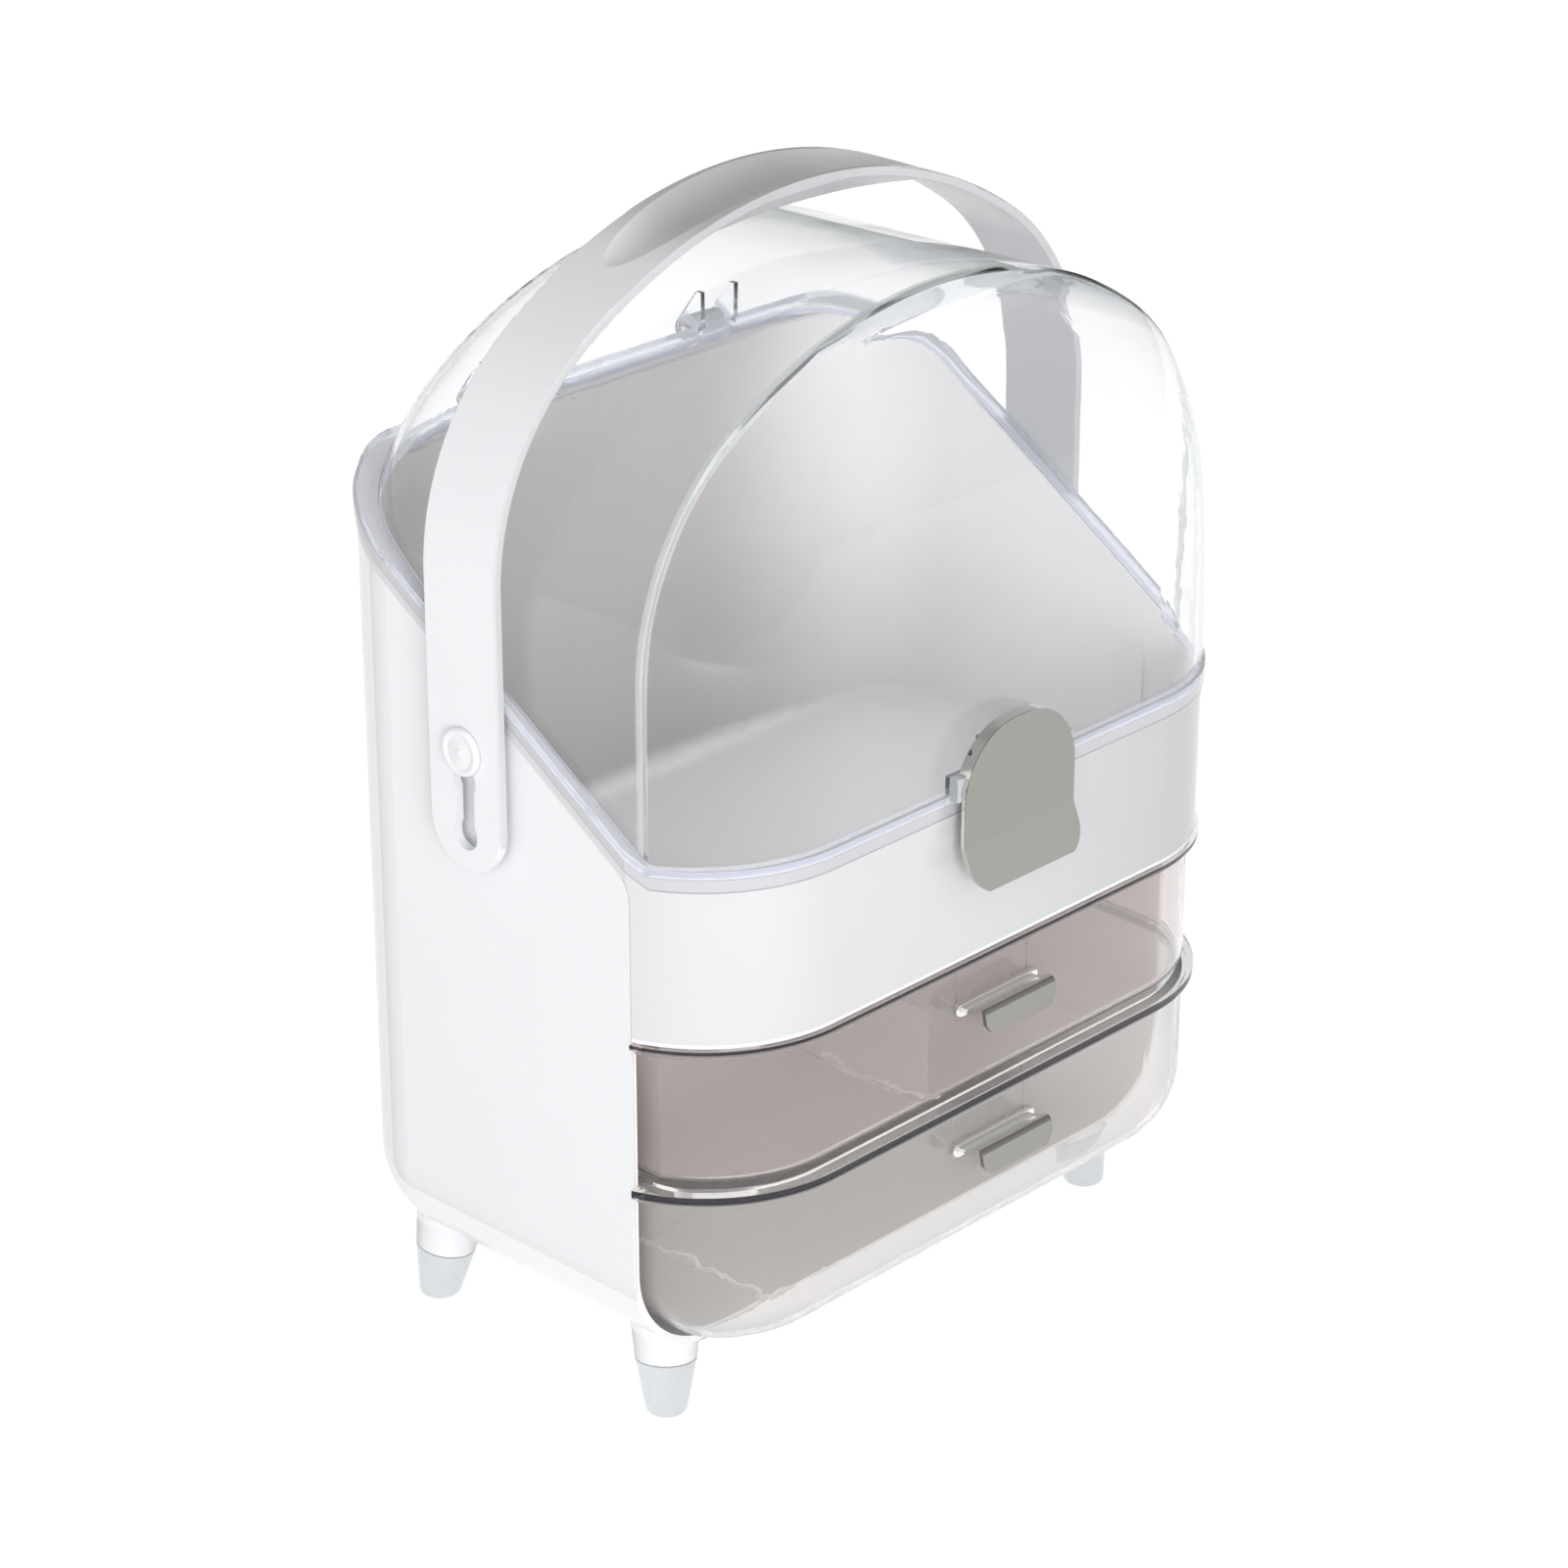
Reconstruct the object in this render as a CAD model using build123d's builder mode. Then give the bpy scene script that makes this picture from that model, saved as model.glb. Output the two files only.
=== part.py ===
from build123d import *
import os
from math import acos, asin, cos, degrees, radians, sin, sqrt, tan

os.makedirs("parts", exist_ok=True)

# Body, in millimetres and degrees
body_width = 280.0
body_depth = 148.0
wall = 2.5
foot_height = 31.0
side_radius = 39.0
back_radius = 35.0
rim_height = 221.0
rim_slope = 33.0
kink_ahead = 7.0
panel_drop = 7.5
panel_corner = 13.0

# The bowed front: a straight middle and a large arc at each end, on shared centres
bow_radius = 58.0
bow_overrun = 3.0
bow_centre_back = 19.0

# Clearances
seat_gap = 0.3
run_gap = 0.4
fit_gap = 0.08

# Upper tub
tub_rest_gap = 0.5
tub_floor = 2.5
tub_wall = 2.2
tub_floor_round = 6.0
bead_drop = 3.5
bead_reach = 1.1
ledge_reach = 0.6
pad_below_rim = 6.0
pad_front = 12.0
pad_length = 22.0
pad_rise = 1.2
catch_below_rim = 10.6
catch_width = 20.0
catch_reach = 1.5
catch_height = 1.8

# Lid
lid_wall = 2.2
lid_inset = 1.3
lid_front_inset = 0.5
flange_height = 2.9
flange_reach = 1.4
flange_corner_ease = 5.0
crease_ahead = 5.0
lid_height = 168.0
crown_radius = 177.0
shoulder_radius = 90.0
crown_fall = 0.03
lid_corner_ease = 1.0
visor_power = 2.4
visor_flat = 0.613
visor_sections = 9
visor_least_half = 37.0
visor_least_reach = 0.3
visor_margin = 0.4
visor_lap = 5.0

# Lid hinges
hinge_span = 107.6
hinge_behind = 8.0
hinge_rise = 1.5
hinge_pin_diameter = 3.0
hinge_barrel_diameter = 9.0
hinge_arm_pitch = 17.0
hinge_arm_thickness = 2.0
hinge_arm_height = 17.0
hinge_arm_depth = 4.0
knuckle_leg = 22.0

# Latch tab on the front of the lid
tab_width = 56.0
tab_above_rim = 25.3
tab_bend_below_rim = 15.5
tab_top_flat = 6.0
tab_plate = 1.8
tab_wall = 1.6
tab_wall_depth = 5.0
tab_stand_off = 5.8
tab_wall_above_rim = 10.5
tab_lip_length = 16.5
tab_lip_angle = 22.0
tab_lip_corner = 10.0
tab_pin_diameter = 1.6
tab_pin_above_rim = 17.0
tab_pin_behind = 3.9
tab_knuckle_radius = 1.7
tab_lug_width = 5.0
tab_lug_pitch = 24.0
tab_lug_height = 3.0
tab_ear_thickness = 2.0
tab_boss_gap = 0.6
nib_width = 16.0
nib_height = 2.0
nib_drop = 0.6

# Handle
handle_width = 34.0
handle_thickness = 3.5
handle_above_lid = 21.5
handle_crown_ease = 10.0
handle_side_gap = 2.5
handle_edge_round = 0.7
pin_back = 70.5
pin_above_rim = 23.0
handle_lift = 31.5
slot_width = 11.2
slot_waist = 9.2
slot_waist_drop = 21.0
arm_end_above_slot = 3.8
grip_depth = 12.5
grip_tube_radius = 20.6
grip_bend_radius = 400.0
grip_skin = 3.5
grip_half_turn = 15.0
pivot_diameter = 8.2
pivot_head_diameter = 17.0
pivot_head_height = 2.0
pivot_boss_diameter = 20.0
clip_diameter = 12.0
clip_thickness = 1.3
clip_neck_diameter = 5.0
clip_gap = 0.1
pivot_head_round = 0.8

# Drawers
drawer_wall = 2.0
drawer_bow_inset = 2.7
drawer_side_gap = 3.2
drawer_back_gap = 4.0
drawer_back_ease = 6.0
drawer_rim_reach = 4.0
drawer_step_height = 2.2
drawer_step_reach = 1.6
runner_height = 5.0
runner_front = 6.0
drawer_floor_gap = 1.5
lower_drawer_height = 69.1
lower_rim_height = 3.2
lower_side_ease = 5.0
lower_nose_round = 28.0
upper_drawer_height = 53.1
upper_rim_height = 1.9
upper_edge_round = 5.0
divider_x = -33.0
divider_thickness = 1.6
divider_below_rim = 15.1
pull_pad = 0.6

# Drawer pulls
pull_width = 36.5
pull_thickness = 1.5
pull_plate_height = 5.4
pull_plate_thickness = 2.2
pull_plate_margin = 3.0
pull_neck_radius = 13.0
pull_neck_dip = 2.0
pull_neck_turn = 36.0
pull_crest_radius = 1.7
pull_crest_turn = 114.0
pull_lip = 7.6
pull_lip_corner = 7.0
pull_below_rim = 19.6
peg_diameter = 4.0
peg_pitch = 20.0
peg_proud = 1.2

# Feet
foot_inset_side = 31.0
foot_inset_front = 16.5
foot_inset_back = 21.5
foot_splay = 9.0
foot_tip_height = 20.5
foot_toe_radius = 7.2
foot_ring_radius = 11.0
foot_root_radius = 15.5
foot_toe_round = 2.0
spigot_radius = 7.0
spigot_length = 7.0

# Derived places. The part stands on its feet, with its box centred on the origin in plan
far = 400.0
half_width = body_width / 2
bow_straight = half_width - bow_radius + bow_overrun
slope = tan(radians(rim_slope))
lower_floor_z = foot_height + wall + drawer_floor_gap
lower_rim_z = lower_floor_z + lower_drawer_height
upper_floor_z = lower_rim_z + drawer_floor_gap
upper_rim_z = upper_floor_z + upper_drawer_height
tub_floor_z = upper_rim_z + tub_rest_gap
pad_top_z = rim_height - pad_below_rim
catch_z = rim_height - catch_below_rim
crown_height = rim_height + lid_height
lid_back_round = back_radius + lid_corner_ease
flange_corner = back_radius + flange_corner_ease
tab_top_z = rim_height + tab_above_rim
tab_bend_z = rim_height - tab_bend_below_rim
tab_corner = (tab_width - tab_top_flat) / 2
tab_wall_z = rim_height + tab_wall_above_rim
tab_pin_z = rim_height + tab_pin_above_rim
handle_crown_z = crown_height + handle_above_lid
handle_crown_radius = crown_radius + handle_crown_ease
pin_z = rim_height + pin_above_rim
lip_run = tab_lip_length * sin(radians(tab_lip_angle))
tab_ahead = bow_radius - bow_centre_back + flange_reach + tab_stand_off
back_reach = body_depth + hinge_behind + hinge_barrel_diameter / 2
edge_y = (tab_ahead + lip_run - back_reach) / 2
back_y = edge_y + body_depth
bow_y = edge_y + bow_centre_back
kink_y = edge_y - kink_ahead
crease_y = edge_y - crease_ahead
front_y = bow_y - bow_radius
tab_y = edge_y - tab_ahead
pin_y = edge_y + pin_back
rim_back_z = rim_height + slope * (back_y - kink_y)
hinge_y = back_y + hinge_behind
hinge_z = rim_back_z + hinge_rise
hinge_x = hinge_span / 2
casing_inner_half = half_width - wall
tub_half = casing_inner_half - seat_gap
tub_back_y = back_y - wall - seat_gap
tub_corner = back_radius - wall - seat_gap
drawer_half = casing_inner_half - drawer_side_gap
drawer_back_y = back_y - wall - drawer_back_gap
drawer_bow = bow_radius - drawer_bow_inset
drawer_back_round = back_radius - drawer_back_ease
lower_side_round = side_radius - lower_side_ease
drawer_front_y = bow_y - drawer_bow
handle_inner_half = half_width + handle_side_gap
handle_half = handle_inner_half + handle_thickness
slot_top_z = pin_z + pivot_diameter / 2 + seat_gap - slot_width / 2
slot_end_z = slot_top_z - handle_lift - pivot_diameter - 2 * seat_gap + slot_width
arm_end_z = slot_end_z + arm_end_above_slot
tab_pin_y = tab_y + tab_pin_behind


# Outlines

def plan_outline(half, back, corner, bow):
    """Plan view: bowed front, straight sides and round back corners."""
    join = degrees(acos((half - bow_straight) / bow))
    with BuildSketch() as outline:
        with BuildLine():
            bow_arc = CenterArc((bow_straight, bow_y), bow, -90, 90 - join)
            Line((0, bow_y - bow), bow_arc @ 0)
            Line(bow_arc @ 1, (half, back - corner))
            corner_arc = CenterArc((half - corner, back - corner), corner, 0, 90)
            Line(corner_arc @ 1, (0, back))
            mirror(about=Plane.YZ)
        make_face()
    return outline.sketch


def trough_outline(half, floor_z, corner):
    """Front view: upright sides and a flat floor, joined by round lower corners."""
    with BuildSketch() as outline:
        with BuildLine():
            Line((0, far), (half, far))
            Line((half, far), (half, floor_z + corner))
            CenterArc((half - corner, floor_z + corner), corner, 0, -90)
            Line((half - corner, floor_z), (0, floor_z))
            mirror(about=Plane.YZ)
        make_face()
    return outline.sketch


def arch_outline(half, crown_z, crown, shoulder, foot_z):
    """Front view: upright sides under an arch of one wide and two small arcs."""
    lean = degrees(asin((half - shoulder) / (crown - shoulder)))
    spring_z = crown_z - crown + (crown - shoulder) * cos(radians(lean))
    with BuildSketch() as outline:
        with BuildLine():
            CenterArc((0, crown_z - crown), crown, 90 - lean, lean)
            CenterArc((half - shoulder, spring_z), shoulder, 0, 90 - lean)
            Line((half, spring_z), (half, foot_z))
            Line((half, foot_z), (0, foot_z))
            mirror(about=Plane.YZ)
        make_face()
    return outline.sketch


def arch_half_width(half, crown_z, crown, shoulder, z):
    """Half the width of that arch at height z."""
    lean = asin((half - shoulder) / (crown - shoulder))
    spring_z = crown_z - crown + (crown - shoulder) * cos(lean)
    join_z = crown_z - crown + crown * cos(lean)
    if z > join_z:
        return sqrt(crown**2 - (z - crown_z + crown) ** 2)
    if z > spring_z:
        return half - shoulder + sqrt(shoulder**2 - (z - spring_z) ** 2)
    return half


def under_rim(drop):
    """Side view: all that lies below a line set square under the rim by drop."""
    level = rim_height - drop
    kink = kink_y + drop * tan(radians(rim_slope) / 2)
    with BuildSketch() as region:
        with BuildLine():
            Polyline(
                (kink - far, level),
                (kink, level),
                (kink + far, level + far * slope),
                (kink + far, -far),
                (kink - far, -far),
                close=True,
            )
        make_face()
    return region.sketch


def panel_outline(grow):
    """Side view of a casing side: upright front edge, round top corner, sloping top."""
    front = edge_y - grow
    drop = panel_drop - grow
    corner_z = rim_height - drop / cos(radians(rim_slope)) + slope * (front - kink_y)
    with BuildSketch() as panel:
        with BuildLine():
            edge = FilletPolyline(
                (front, -far),
                (front, corner_z),
                (front + far, corner_z + far * slope),
                radius=panel_corner + grow,
            )
            Polyline(edge @ 1, (front + far, -far), edge @ 0)
        make_face()
    return panel.sketch


def rim_band(reach, corner, top_drop, bottom_drop):
    """Slab of the body's plan, grown by reach, between two lines set under the rim."""
    with BuildPart() as band:
        with BuildSketch(Plane.XY.offset(tub_floor_z)):
            add(plan_outline(half_width + reach, back_y + reach, corner, bow_radius + reach))
        extrude(amount=far)
        with BuildSketch(Plane.YZ):
            add(under_rim(top_drop))
        extrude(amount=far, both=True, mode=Mode.INTERSECT)
        with BuildSketch(Plane.YZ):
            add(under_rim(bottom_drop))
        extrude(amount=far, both=True, mode=Mode.SUBTRACT)
    return band.part


def foot_plane(side, row):
    """Workplane in the middle of a foot's toe, leaning outwards on the diagonal."""
    lean = tan(radians(foot_splay)) / sqrt(2)
    root_y = edge_y + foot_inset_front if row < 0 else back_y - foot_inset_back
    toe = (side * (half_width - foot_inset_side + lean * foot_height), root_y + row * lean * foot_height, 0)
    return Plane(origin=toe, x_dir=(1, 0, -side * lean), z_dir=(-side * lean, -row * lean, 1))


foot_places = {
    "front_left": (-1, -1),
    "front_right": (1, -1),
    "back_left": (-1, 1),
    "back_right": (1, 1),
}


# Outer casing: sides, back and floor in one shell, with the foot cones moulded on

def foot_cone(side, row):
    """Cone under the casing with a thinner spigot for the foot tip."""
    place = foot_plane(side, row)
    with BuildPart() as cone:
        with BuildSketch(Plane(origin=place.origin, x_dir=place.x_dir, z_dir=-place.y_dir)):
            with BuildLine():
                Polyline(
                    (0, foot_tip_height - spigot_length),
                    (spigot_radius, foot_tip_height - spigot_length),
                    (spigot_radius, foot_tip_height),
                    (foot_ring_radius, foot_tip_height),
                    (foot_root_radius, 2 * foot_height),
                    (0, 2 * foot_height),
                    close=True,
                )
            make_face()
        revolve(axis=Axis(place.origin, place.z_dir))
    return cone.part


with BuildPart() as casing_cavity:
    with BuildSketch(Plane.XZ.offset(wall - back_y)):
        add(trough_outline(casing_inner_half, foot_height + wall, side_radius - wall))
    extrude(amount=body_depth)
    cavity_back = faces().sort_by(Axis.Y)[-1]
    fillet(cavity_back.edges().filter_by_position(Axis.Z, 0, 0.9 * far), back_radius - wall)

with BuildPart() as outer_casing:
    with BuildSketch(Plane.XZ.offset(-back_y)):
        add(trough_outline(half_width, foot_height, side_radius))
    extrude(amount=body_depth)
    casing_back = faces().sort_by(Axis.Y)[-1]
    fillet(casing_back.edges().filter_by_position(Axis.Z, 0, 0.9 * far), back_radius)
    for side, row in foot_places.values():
        add(foot_cone(side, row))
    with Locations(Plane(origin=(0, pin_y, pin_z), z_dir=(1, 0, 0))):
        Cylinder(pivot_boss_diameter / 2, 2 * (handle_inner_half - seat_gap))
    add(casing_cavity.part, mode=Mode.SUBTRACT)
    with BuildSketch(Plane.YZ):
        add(panel_outline(0))
    extrude(amount=far, both=True, mode=Mode.INTERSECT)
    # Ledges along both sides that carry the drawer rims
    with BuildSketch(Plane.XZ.offset(-edge_y - runner_front)):
        for rim_bottom in (lower_rim_z - lower_rim_height, upper_rim_z - upper_rim_height):
            with BuildLine():
                Polyline(
                    (half_width - wall / 2, rim_bottom - seat_gap),
                    (drawer_half + run_gap, rim_bottom - seat_gap),
                    (drawer_half + run_gap, rim_bottom - seat_gap - runner_height / 2),
                    (half_width - wall / 2, rim_bottom - seat_gap - runner_height),
                    close=True,
                )
            make_face()
        mirror(about=Plane.YZ)
    extrude(amount=-(body_depth - back_radius - runner_front))
    # Bores for the pivots, each with a counterbore inside for its clip
    with Locations(Plane(origin=(0, pin_y, pin_z), z_dir=(1, 0, 0))):
        Cylinder(pivot_diameter / 2 + fit_gap, 3 * half_width, mode=Mode.SUBTRACT)
        Cylinder(
            clip_diameter / 2 + seat_gap,
            2 * (casing_inner_half + clip_thickness + seat_gap),
            mode=Mode.SUBTRACT,
        )
outer_casing.part.label = "outer_casing"
export_step(outer_casing.part, "parts/outer_casing.step")


# Foot tips: tapered cups pushed over the spigots, ground flat where they stand

def foot_tip(side, row):
    """Cup for one foot, with a socket for the spigot."""
    place = foot_plane(side, row)
    taper = (foot_ring_radius - foot_toe_radius) / foot_tip_height
    below = 2 * foot_toe_round
    with BuildPart() as tip:
        with BuildSketch(Plane(origin=place.origin, x_dir=place.x_dir, z_dir=-place.y_dir)):
            with BuildLine():
                Polyline(
                    (0, -below),
                    (foot_toe_radius - below * taper, -below),
                    (foot_ring_radius - seat_gap * taper, foot_tip_height - seat_gap),
                    (spigot_radius + fit_gap, foot_tip_height - seat_gap),
                    (spigot_radius + fit_gap, foot_tip_height - spigot_length - seat_gap),
                    (0, foot_tip_height - spigot_length - seat_gap),
                    close=True,
                )
            make_face()
        revolve(axis=Axis(place.origin, place.z_dir))
        split(bisect_by=Plane.XY, keep=Keep.TOP)
        fillet(faces().sort_by(Axis.Z)[0].edges(), foot_toe_round)
    return tip.part


for corner_name, (side, row) in foot_places.items():
    tip_part = foot_tip(side, row)
    tip_part.label = "foot_tip_" + corner_name
    export_step(tip_part, "parts/foot_tip_" + corner_name + ".step")


# Upper tub: bow-fronted bin that drops into the casing and hangs on its rim

with BuildPart() as tub_cavity:
    with BuildSketch(Plane.XY.offset(tub_floor_z + tub_floor)):
        add(plan_outline(
            tub_half - tub_wall,
            tub_back_y - tub_wall,
            tub_corner - tub_wall,
            bow_radius - tub_wall,
        ))
    extrude(amount=far)
    fillet(faces().sort_by(Axis.Z)[0].edges(), tub_floor_round)

with BuildPart() as casing_room:
    with BuildSketch():
        add(plan_outline(half_width + wall, back_y + wall, back_radius + wall, bow_radius + wall))
        add(plan_outline(tub_half, tub_back_y, tub_corner, bow_radius), mode=Mode.SUBTRACT)
    extrude(amount=far)
    with BuildSketch(Plane.YZ):
        add(panel_outline(seat_gap))
    extrude(amount=far, both=True, mode=Mode.INTERSECT)

with BuildPart() as upper_tub:
    with BuildSketch(Plane.XY.offset(tub_floor_z)):
        add(plan_outline(half_width, back_y, back_radius, bow_radius))
    extrude(amount=far)
    add(casing_room.part, mode=Mode.SUBTRACT)
    with BuildSketch(Plane.YZ):
        add(under_rim(seat_gap))
    extrude(amount=far, both=True, mode=Mode.INTERSECT)
    add(rim_band(bead_reach, back_radius + bead_reach, seat_gap, bead_drop))
    add(rim_band(ledge_reach, back_radius + ledge_reach, bead_drop, panel_drop - seat_gap))
    # Knuckles behind the rim, each on a leg that stands off the casing's back
    for side in (-1, 1):
        with BuildSketch(Plane.YZ.offset(side * hinge_x)):
            with Locations((hinge_y, hinge_z)):
                Circle(hinge_barrel_diameter / 2)
            with BuildLine():
                Polyline(
                    (tub_back_y, rim_back_z - bead_drop),
                    (back_y + bead_reach, rim_back_z - seat_gap),
                    (hinge_y, hinge_z + hinge_barrel_diameter / 2),
                    (hinge_y + hinge_barrel_diameter / 2, hinge_z),
                    (back_y + 2 * hinge_arm_thickness, hinge_z - knuckle_leg),
                    (back_y + seat_gap, hinge_z - knuckle_leg),
                    (back_y + seat_gap, rim_back_z - panel_drop),
                    (tub_back_y, rim_back_z - panel_drop),
                    close=True,
                )
            make_face()
        extrude(amount=hinge_arm_pitch / 2 - hinge_arm_thickness / 2 - seat_gap, both=True)
    add(tub_cavity.part, mode=Mode.SUBTRACT)
    with Locations(Plane(origin=(0, hinge_y, hinge_z), z_dir=(1, 0, 0))):
        Cylinder(hinge_pin_diameter / 2 + fit_gap, 3 * half_width, mode=Mode.SUBTRACT)
    # Wedge pads low on the side walls
    with BuildSketch(Plane.XY.offset(tub_floor_z + tub_floor / 2)):
        with BuildLine():
            Polyline(
                (tub_half - tub_wall / 2, edge_y + pad_front),
                (tub_half - tub_wall - pad_rise, edge_y + pad_front),
                (tub_half - tub_wall / 2, edge_y + pad_front + pad_length),
                close=True,
            )
        make_face()
        mirror(about=Plane.YZ)
    extrude(amount=pad_top_z - tub_floor_z - tub_floor / 2)
    # Rib that the nib of the latch snaps under
    with BuildSketch(Plane.YZ):
        with BuildLine():
            Polyline(
                (front_y + tub_wall / 2, catch_z + catch_height + catch_reach),
                (front_y, catch_z + catch_height + catch_reach),
                (front_y - catch_reach, catch_z + catch_height),
                (front_y - catch_reach, catch_z),
                (front_y + tub_wall / 2, catch_z),
                close=True,
            )
        make_face()
    extrude(amount=catch_width / 2, both=True)
upper_tub.part.label = "upper_tub"
export_step(upper_tub.part, "parts/upper_tub.step")


# Lid: a barrel dome behind the crease and a bow-fronted visor before it

def lid_form(inset):
    """Outer form of the lid, set in by inset, with its skirt run down past the rim."""
    half = half_width - lid_inset - inset
    crown_z = crown_height - inset
    crown = crown_radius - inset
    shoulder = shoulder_radius - inset
    foot_z = rim_height - 4 * flange_height
    bulge = crease_y - front_y - lid_front_inset
    depth = back_y - lid_front_inset - inset - crease_y
    generator = Vector(0, 1, -crown_fall)
    with BuildPart() as barrel:
        with BuildSketch(Plane.XZ.offset(-crease_y)):
            add(arch_outline(half, crown_z, crown, shoulder, foot_z))
        extrude(amount=depth * generator.length, dir=generator)
        barrel_back = faces().sort_by(Axis.Y)[-1]
        fillet(barrel_back.edges().filter_by_position(Axis.Z, foot_z, far), lid_back_round - inset)
    with BuildPart() as visor:
        visor_foot = rim_height + flange_height
        rises = [sin(radians(90 * step / visor_sections)) for step in range(visor_sections + 1)]
        heights = [visor_foot + rise * (crown_z - visor_foot) for rise in rises]
        for z in [foot_z, *heights, crown_z + visor_lap]:
            rise = min(max((z - visor_foot) / (crown_z - visor_foot), 0), 1)
            arch_half = arch_half_width(half, crown_z, crown, shoulder, min(z, crown_z))
            width = max(arch_half, visor_least_half) + visor_margin
            reach = max(bulge * (1 - rise**visor_power) - inset, visor_least_reach)
            flat = visor_flat * width
            round_radius = ((width - flat) ** 2 + reach**2) / (2 * reach)
            with BuildSketch(Plane.XY.offset(z)):
                with BuildLine():
                    side_arc = RadiusArc((flat, crease_y - reach), (width, crease_y), -round_radius)
                    Polyline(side_arc @ 1, (width, crease_y + visor_lap), (0, crease_y + visor_lap))
                    Line((0, crease_y - reach), side_arc @ 0)
                    mirror(about=Plane.YZ)
                make_face()
        loft()
        with BuildSketch(Plane.XZ.offset(-crease_y - visor_lap)):
            lap_z = crown_z - visor_lap * crown_fall
            add(arch_outline(half, lap_z, crown, shoulder, foot_z - visor_lap))
        extrude(amount=2 * bow_radius, dir=(0, -1, crown_fall), mode=Mode.INTERSECT)
    with BuildPart() as form:
        add(barrel.part)
        add(visor.part)
    return form.part


with BuildPart() as lid:
    add(lid_form(0))
    with BuildSketch(Plane.YZ):
        add(under_rim(0))
    extrude(amount=far, both=True, mode=Mode.SUBTRACT)
    add(rim_band(flange_reach, flange_corner, -flange_height, 0))
    # Boss and two lugs on the front that carry the latch
    boss_back_y = front_y + lid_front_inset + lid_wall / 2
    boss_front_y = tab_y + tab_plate + run_gap
    boss_top_z = tab_wall_z - tab_boss_gap
    with BuildSketch(Plane.YZ):
        with BuildLine():
            Polyline(
                (boss_back_y, rim_height + flange_height / 2),
                (boss_front_y, rim_height + flange_height / 2),
                (boss_front_y, boss_top_z),
                (boss_back_y, boss_top_z),
                close=True,
            )
        make_face()
    extrude(amount=tab_width / 2 + tab_wall, both=True)
    for side in (-1, 1):
        with BuildSketch(Plane.YZ.offset(side * tab_lug_pitch / 2)):
            with BuildLine():
                CenterArc((tab_pin_y, tab_pin_z), tab_knuckle_radius, 0, 360)
                Line((boss_back_y, boss_top_z), (boss_back_y, tab_pin_z + tab_lug_height))
            make_hull()
        extrude(amount=tab_lug_width / 2, both=True)
    add(lid_form(lid_wall), mode=Mode.SUBTRACT)
    # Two pairs of gusset arms on the back that straddle the knuckles of the tub
    for side in (-1, 1):
        for arm in (-1, 1):
            with BuildSketch(Plane.YZ.offset(side * hinge_x + arm * hinge_arm_pitch / 2)):
                with BuildLine():
                    CenterArc((hinge_y, hinge_z), hinge_barrel_diameter / 2, 0, 360)
                    Polyline(
                        (back_y - lid_wall / 2, rim_back_z + flange_height),
                        (back_y - lid_wall / 2, rim_back_z + hinge_arm_height),
                        (back_y + hinge_arm_thickness, rim_back_z + hinge_arm_height),
                    )
                make_hull()
            extrude(amount=hinge_arm_thickness / 2, both=True)
    with Locations(Plane(origin=(0, hinge_y, hinge_z), z_dir=(1, 0, 0))):
        Cylinder(hinge_pin_diameter / 2 + fit_gap, 3 * half_width, mode=Mode.SUBTRACT)
    with Locations(Plane(origin=(0, tab_pin_y, tab_pin_z), z_dir=(1, 0, 0))):
        Cylinder(tab_pin_diameter / 2 + fit_gap, tab_width, mode=Mode.SUBTRACT)
lid.part.label = "lid"
export_step(lid.part, "parts/lid.step")


# Lid hinge pins

for side_name, side in (("left", -1), ("right", 1)):
    with BuildPart(Plane(origin=(side * hinge_x, hinge_y, hinge_z), z_dir=(1, 0, 0))) as hinge_pin:
        Cylinder(hinge_pin_diameter / 2, hinge_arm_pitch + hinge_arm_thickness + 2 * seat_gap)
        chamfer(hinge_pin.edges(), seat_gap)
    hinge_pin.part.label = "hinge_pin_" + side_name
    export_step(hinge_pin.part, "parts/hinge_pin_" + side_name + ".step")


# Latch tab: bent plate with an arched hood, tipping on a pin between its lugs

def tab_outline(inset, foot_z, foot_corner):
    """Front view: arched top, upright sides and round lower corners."""
    half = tab_width / 2 - inset
    corner = tab_corner - inset
    top = tab_top_z - inset
    with BuildSketch() as outline:
        with BuildLine():
            Line((0, top), (half - corner, top))
            CenterArc((half - corner, top - corner), corner, 0, 90)
            Line((half, top - corner), (half, foot_z + foot_corner))
            if foot_corner > 0:
                CenterArc((half - foot_corner, foot_z + foot_corner), foot_corner, 0, -90)
            Line((half - foot_corner, foot_z), (0, foot_z))
            mirror(about=Plane.YZ)
        make_face()
    return outline.sketch


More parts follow.
